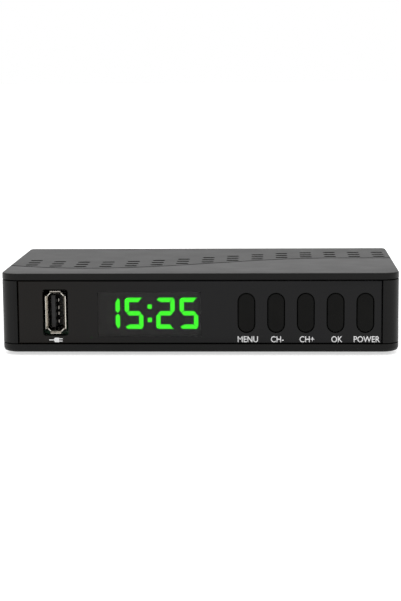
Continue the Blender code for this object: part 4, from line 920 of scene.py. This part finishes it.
def round_tube(node, finish_name):
    """A finely turned tube in place of a round node, with its collar where it has one."""
    low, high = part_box(node)
    across, up = middle_of(node)
    corners = corners_of(node, DEEP)
    inner = min(away for away, place in corners)
    outer = max(away for away, place in corners if high.y - place < MERGE_DISTANCE)
    widest = (high.x - low.x) / 2
    edge = min(TUBE_EDGE, (outer - inner) / 3)
    profile = [(inner, low.y), (inner, high.y - edge), (inner + edge, high.y), (outer - edge, high.y)]
    profile.append((outer, high.y - edge))
    if widest > outer + edge:
        collar = [place for away, place in corners if away > outer + TUBE_EDGE]
        start, end = min(collar), max(collar)
        profile += [(outer, end), (widest - edge, end), (widest, end - edge), (widest, start), (outer, start)]
    profile.append((outer, low.y))
    piece = turned_piece(f"{node}_turned", profile, (across, 0, up), finish_name, node)
    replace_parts(piece, node)


def round_pin(node):
    """A pin with a rounded tip."""
    low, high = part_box(node)
    across, up = middle_of(node)
    radius = (high.x - low.x) / 2
    profile = [(0, low.y), (radius, low.y), (radius, high.y - radius)]
    for turn in (math.radians(angle) for angle in (22.5, 45, 67.5)):
        profile.append((radius * math.cos(turn), high.y - radius + radius * math.sin(turn)))
    profile.append((0, high.y))
    piece = turned_piece(f"{node}_turned", profile, (across, 0, up), "nickel", node)
    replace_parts(piece, node)


def scart_contacts():
    """A folded blade in each slot of the audio and video socket."""
    node = "scart_housing"
    across, up = middle_of(node)
    wide, tall = (side / 2 for side in SCART_CONTACT_SIDES)
    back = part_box(node)[1].y - SCART_CONTACT_SETBACK
    blocks = []
    for middle in row_of(up, 2, SCART_ROW_PITCH):
        for right in row_of(across, SCART_COLUMNS, SCART_COLUMN_PITCH):
            near = (right - wide, back - SCART_CONTACT_LENGTH, middle - tall)
            blocks.append((near, (right + wide, back, middle + tall)))
    blocks_piece("scart_contacts", blocks, "nickel", node, wide / 3)


def picture_contacts():
    """Gold strips on both sides of the digital picture socket's tongue."""
    low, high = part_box("hdmi_tongue")
    across, up = middle_of("hdmi_shell")
    half = PICTURE_CONTACT_WIDTH / 2
    blocks = []
    for face in row_of(up, 2, PICTURE_TONGUE_THICKNESS):
        for right in row_of(across, PICTURE_CONTACTS, PICTURE_CONTACT_PITCH):
            near = (right - half, low.y + (high.y - low.y) / 3, face - CONTACT_SKIN)
            blocks.append((near, (right + half, high.y - PICTURE_CONTACT_WIDTH, face + CONTACT_SKIN)))
    blocks_piece("hdmi_contacts", blocks, "gold", "hdmi_tongue")


def tuner_lid():
    """A thin plate let into the top of the tuner's can, a little proud of it."""
    low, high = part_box("tuner_can")
    inset, proud = TUNER_LID_INSET, TUNER_LID_PROUD
    near = (low.x + inset, low.y + inset, high.z - proud)
    far = (high.x - inset, high.y - inset, high.z + proud)
    blocks_piece("tuner_lid", [(near, far)], "tin", "tuner_can", proud / 2)


class RECEIVER_OT_inside(Operator):
    """Boards with their chips, heat sink, crystal, inductor, capacitors and header"""

    bl_idname = "receiver.inside"
    bl_label = "Inside"

    def execute(self, context):
        edge = look("case").edge_round
        solder_mask()
        dressed("front_board", "solder_mask", edge)
        main_board()
        dressed("main_chip", "chip_resin", edge)
        dressed("memory_chip", "chip_resin", edge)
        dressed("heat_sink", "anodised", edge)
        dressed("board_header", "black_insulation", edge)
        dressed("ir_receiver", "black_insulation")
        chip_legs()
        return {"FINISHED"}


def main_board():
    """The board in green mask up to its surface, and what is soldered to it in its own finishes."""
    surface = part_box("main_chip")[0].z - BOARD_CLEARANCE
    work = merged_copy("main_board")
    cut(work, (0, 0, surface - MERGE_DISTANCE), (0, 0, 1), clear=True)
    open_edges = [edge for edge in work.edges if edge.is_boundary]
    bmesh.ops.triangle_fill(work, use_beauty=True, use_dissolve=False, edges=open_edges)
    bmesh.ops.recalc_face_normals(work, faces=work.faces)
    board = mesh_piece("main_board_sheet", work, "solder_mask", "main_board", smooth=False)
    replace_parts(board, "main_board")
    for index, (low, high) in enumerate(soldered_parts(surface)):
        soldered_piece(low, high, surface, index)


def soldered_parts(surface):
    """The corners of each separate thing that stands on the main board, found in its node."""
    work = merged_copy("main_board")
    cut(work, (0, 0, surface + BOARD_CLEARANCE / 2), (0, 0, -1), clear=True)
    left, parts = set(work.verts), []
    while left:
        found, reach = set(), [next(iter(left))]
        while reach:
            point = reach.pop()
            if point in found:
                continue
            found.add(point)
            reach += [edge.other_vert(point) for edge in point.link_edges]
        left -= found
        ends = [[end(point.co[axis] for point in found) for axis in range(3)] for end in (min, max)]
        parts.append([Vector(corner) for corner in ends])
    work.free()
    return sorted(parts, key=lambda ends: (round(ends[1].z, 5), round(ends[0].x, 5)))


def soldered_piece(low, high, surface, index):
    """A capacitor where the part is tall, an inductor where it is square, and otherwise a crystal."""
    wide, deep = high.x - low.x, high.y - low.y
    place = ((low.x + high.x) / 2, (low.y + high.y) / 2, 0)
    if high.z - surface > TALL_PART:
        capacitor_piece(place, wide / 2, surface, high.z, index)
    elif wide < deep * SQUARE_RATIO:
        inductor_piece(place, wide / 2, surface, high.z)
    else:
        crystal_piece(place, wide, deep, surface, high.z)


def capacitor_piece(place, radius, surface, top, index):
    """A sleeved can with a rolled neck and a bare top."""
    neck = radius / 8
    profile = [(0, surface), (radius, surface), (radius, surface + 4 * neck)]
    profile += [(radius - neck, surface + 5 * neck), (radius, surface + 6 * neck), (radius, top - 2 * neck)]
    profile += [(radius - neck, top - neck), (0, top - neck)]
    turned_piece(f"capacitor_{index}", profile, place, "sleeve", "main_board", "Z")
    cap = radius - 2 * neck
    profile = [(0, top - 2 * neck), (cap, top - 2 * neck), (cap, top - neck / 2), (0, top - neck / 2)]
    turned_piece(f"capacitor_top_{index}", profile, place, "anodised", "main_board", "Z")


def inductor_piece(place, radius, surface, top):
    """A ferrite drum between two flanges."""
    thick = (top - surface) / 5
    waist = radius * INDUCTOR_WAIST_SHARE
    profile = [(0, surface), (radius, surface), (radius, surface + thick), (waist, surface + thick)]
    profile += [(waist, top - thick), (radius, top - thick), (radius, top), (0, top)]
    turned_piece("inductor", profile, place, "ferrite", "main_board", "Z")


def crystal_piece(place, wide, deep, surface, top):
    """A low steel can with round ends and a flange."""
    rim = CRYSTAL_RIM
    radius, straight = deep / 2, wide - deep
    rings = [(radius, straight, surface), (radius, straight, surface + rim)]
    rings += [(radius - rim, straight, surface + rim), (radius - rim, straight, top - rim)]
    rings.append((radius - 2 * rim, straight, top))
    work = bmesh.new()
    points = add_loft(work, rings, (0, 0))
    for axis in ("X", "Z"):
        turn_points(work, points, math.pi / 2, axis)
    bmesh.ops.translate(work, vec=place, verts=points)
    mesh_piece("crystal", work, "steel", "main_board")


def chip_legs():
    """Legs along the two long sides of the memory chip, flat on the board."""
    low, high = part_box("memory_chip")
    surface = low.z - BOARD_CLEARANCE
    count = int((high.x - low.x) / LEG_PITCH) - 1
    blocks = []
    for right in row_of((low.x + high.x) / 2, count, LEG_PITCH):
        for edge, side in ((low.y, -1), (high.y, 1)):
            front, back = sorted((edge - side * LEG_REACH / 2, edge + side * LEG_REACH))
            near = (right - LEG_WIDTH / 2, front, surface)
            blocks.append((near, (right + LEG_WIDTH / 2, back, low.z + LEG_THICKNESS)))
    blocks_piece("memory_chip_legs", blocks, "tin", "memory_chip", LEG_THICKNESS / 4)


class RECEIVER_OT_fasteners(Operator):
    """Cross-head screws and rubber feet"""

    bl_idname = "receiver.fasteners"
    bl_label = "Fasteners"

    def execute(self, context):
        for corner in ("front_left", "front_right", "rear_left", "rear_right"):
            screw_piece(f"case_screw_{corner}", UP, -1)
            screw_piece(f"board_screw_{corner}", UP, 1)
            foot_piece(f"foot_{corner}")
        for side in ("left", "right"):
            screw_piece(f"front_board_screw_{side}", DEEP, 1)
        return {"FINISHED"}


def screw_piece(node, along, head_side):
    """A screw with a domed head, a cross recess and a ridged shank. head_side is -1 or 1, its head's end."""
    low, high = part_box(node)
    radius = (high.x - low.x) / 2
    length = high[along] - low[along]
    corners = corners_of(node, along)
    thinnest = min(away for away, place in corners if away > MERGE_DISTANCE)
    shank = min(radius * SHANK_SHARE, thinnest)
    root = shank * THREAD_ROOT_SHARE
    wide = [place for away, place in corners if away > radius * FULL_SHARE]
    head = high[along] - min(wide) if head_side > 0 else max(wide) - low[along]
    neck = length - head
    profile = [(0, length), (radius * HEAD_FLAT_SHARE, length)]
    profile += [(radius * HEAD_DOME_SHARE, length - head / 3), (radius, length - head * 2 / 3)]
    profile += [(radius, neck), (shank, neck)]
    for index in range(int((neck - shank) / THREAD_PITCH)):
        start = neck - (index + 0.5) * THREAD_PITCH
        profile += [(shank, start), (root, start - THREAD_PITCH / 2)]
    profile += [(root, shank), (0, 0)]
    work = bmesh.new()
    points = add_turned(work, profile, (0, 0, 0), "Z", SCREW_STEPS)
    if head_side < 0:
        turn_points(work, points, math.pi, "X")
    if along == DEEP:
        turn_points(work, points, -math.pi / 2, "X")
    tip = (low + high) / 2
    tip[along] = low[along] if head_side > 0 else high[along]
    bmesh.ops.translate(work, vec=tip, verts=points)
    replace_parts(mesh_piece(f"{node}_turned", work, "steel", node), node)
    painted_shade_cross(node, along, head_side)


def painted_shade_cross(node, along, head_side):
    """The cross recess as painted shade: a dark plate flush with the head, where the recess would lie in
    shade.
    """
    low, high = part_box(node)
    tone = look("case")
    arm, half = (high.x - low.x) / 2 * HEAD_FLAT_SHARE, tone.cross_width / 2
    end = high[along] if head_side > 0 else low[along]
    ends = sorted((end - head_side * CROSS_SETBACK, end - head_side * tone.cross_depth))
    middle = (low + high) / 2
    blocks = []
    for wide, tall in ((arm, half), (half, arm)):
        reach = Vector((wide, tall, tall))
        near, far = middle - reach, middle + reach
        near[along], far[along] = ends
        blocks.append((near, far))
    # Black plates in the steel slot: painted shade in place of the recess
    blocks_piece(f"{node}_cross", blocks, "black_insulation", node, slot="steel")


def foot_piece(node):
    """A rubber disc with a shallow dish and a rounded rim."""
    low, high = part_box(node)
    place = ((low.x + high.x) / 2, (low.y + high.y) / 2, 0)
    radius = (high.x - low.x) / 2
    edge = (high.z - low.z) / 3
    dish = low.z + edge / 4
    profile = [(0, high.z), (radius, high.z), (radius, low.z + edge)]
    for turn in (math.radians(angle) for angle in (30, 60, 90)):
        profile.append((radius - edge + edge * math.cos(turn), low.z + edge - edge * math.sin(turn)))
    profile += [(radius * FOOT_RIM_SHARE, low.z), (radius * FOOT_DISH_SHARE, dish), (0, dish)]
    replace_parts(turned_piece(f"{node}_turned", profile, place, "rubber", node, "Z"), node)


class RECEIVER_OT_stage(Operator):
    """Floor sheet, soft lights and the camera"""

    bl_idname = "receiver.stage"
    bl_label = "Stage"

    def execute(self, context):
        tone = look("stage")
        floor_sheet(tone)
        soft_world(tone)
        soft_sun(tone)
        studio_camera(tone)
        return {"FINISHED"}


def seen_directly(tree):
    """1 for camera, glossy and transmitted rays, 0 for the rest."""
    rays = add_node(tree, "LightPath", {})
    seen = rays.outputs["Is Camera Ray"]
    for kind in ("Is Glossy Ray", "Is Transmission Ray"):
        either = add_node(tree, "Math", {0: seen, 1: rays.outputs[kind]})
        either.operation = "MAXIMUM"
        seen = either.outputs[0]
    return seen


def floor_sheet(tone):
    """A wide sheet under the feet. It adds white of its own where it is seen, so only shadow greys it."""
    work = bmesh.new()
    bmesh.ops.create_grid(work, x_segments=2, y_segments=2, size=FLOOR_HALF)
    sheet = add_object("floor_sheet", mesh_of("floor_sheet", work))
    material = bpy.data.materials.new("floor_white")
    material.use_nodes = True
    tree = material.node_tree
    level = add_node(tree, "Math", {0: seen_directly(tree), 1: tone.floor_glow})
    level.operation = "MULTIPLY"
    set_inputs(tree, shader_of(material), {
        "Base Color": (*tone.floor_colour, 1),
        "Roughness": 0.9,
        "Specular IOR Level": 0.1,
        "Emission Color": (1, 1, 1, 1),
        "Emission Strength": level.outputs[0],
    })
    sheet.data.materials.append(material)


def soft_world(tone):
    """White where it is seen, and at its own level where it only lights the object."""
    world = bpy.data.worlds.new("studio")
    bpy.context.scene.world = world
    world.use_nodes = True
    tree = world.node_tree
    levels = {"Value": seen_directly(tree), "To Min": tone.world_level, "To Max": 1}
    level = add_node(tree, "MapRange", levels).outputs["Result"]
    set_inputs(tree, tree.nodes["Background"], {"Color": (1, 1, 1, 1), "Strength": level})


def soft_sun(tone):
    """An even soft lamp from overhead, a little in front."""
    lamp = bpy.data.lights.new("sun_overhead", "SUN")
    lamp.energy = tone.sun_level
    lamp.angle = SUN_SPREAD
    light = add_object("sun_overhead", lamp)
    light.rotation_euler = (SUN_TILT, 0, 0)


def studio_camera(tone):
    lens = bpy.data.cameras.new("camera")
    lens.lens = tone.focal_length
    lens.sensor_width = SENSOR_WIDTH
    camera = add_object("camera", lens)
    turn = Matrix.Rotation(tone.camera_turn, 4, "Z")
    dip = Matrix.Rotation(math.pi / 2 - tone.camera_dip, 4, "X")
    roll = Matrix.Rotation(tone.camera_roll, 4, "Z")
    place = Vector((tone.camera_right, LENS_FRONT - tone.camera_away, CASE_UNDERSIDE + tone.camera_up))
    camera.matrix_world = Matrix.Translation(place) @ turn @ dip @ roll
    bpy.context.scene.camera = camera
    bpy.context.scene.view_settings.view_transform = "Standard"


class RECEIVER_PT_look(Panel):
    bl_idname = "RECEIVER_PT_look"
    bl_label = "Receiver"
    bl_space_type = "VIEW_3D"
    bl_region_type = "UI"
    bl_category = "Receiver"

    def draw(self, context):
        for step in STEPS:
            self.layout.operator(step.bl_idname)


STEPS = (
    RECEIVER_OT_case,
    RECEIVER_OT_lens,
    RECEIVER_OT_keys,
    RECEIVER_OT_display,
    RECEIVER_OT_legends,
    RECEIVER_OT_host_socket,
    RECEIVER_OT_rear_sockets,
    RECEIVER_OT_inside,
    RECEIVER_OT_fasteners,
    RECEIVER_OT_stage,
)
GROUPS = {
    "receiver_case": CaseLook,
    "receiver_front": FrontLook,
    "receiver_display": DisplayLook,
    "receiver_sockets": SocketLook,
    "receiver_inside": InsideLook,
    "receiver_stage": StageLook,
}


def register():
    for group in GROUPS.values():
        bpy.utils.register_class(group)
    for name, group in GROUPS.items():
        setattr(bpy.types.Scene, name, PointerProperty(type=group))
    for item in (*STEPS, RECEIVER_PT_look):
        bpy.utils.register_class(item)


def unregister():
    for item in reversed((*STEPS, RECEIVER_PT_look)):
        bpy.utils.unregister_class(item)
    for name, group in GROUPS.items():
        delattr(bpy.types.Scene, name)
        bpy.utils.unregister_class(group)


def main():
    register()
    bpy.ops.receiver.case()
    bpy.ops.receiver.lens()
    bpy.ops.receiver.keys()
    bpy.ops.receiver.display()
    bpy.ops.receiver.legends()
    bpy.ops.receiver.host_socket()
    bpy.ops.receiver.rear_sockets()
    bpy.ops.receiver.inside()
    bpy.ops.receiver.fasteners()
    bpy.ops.receiver.stage()


if __name__ == "__main__":
    main()
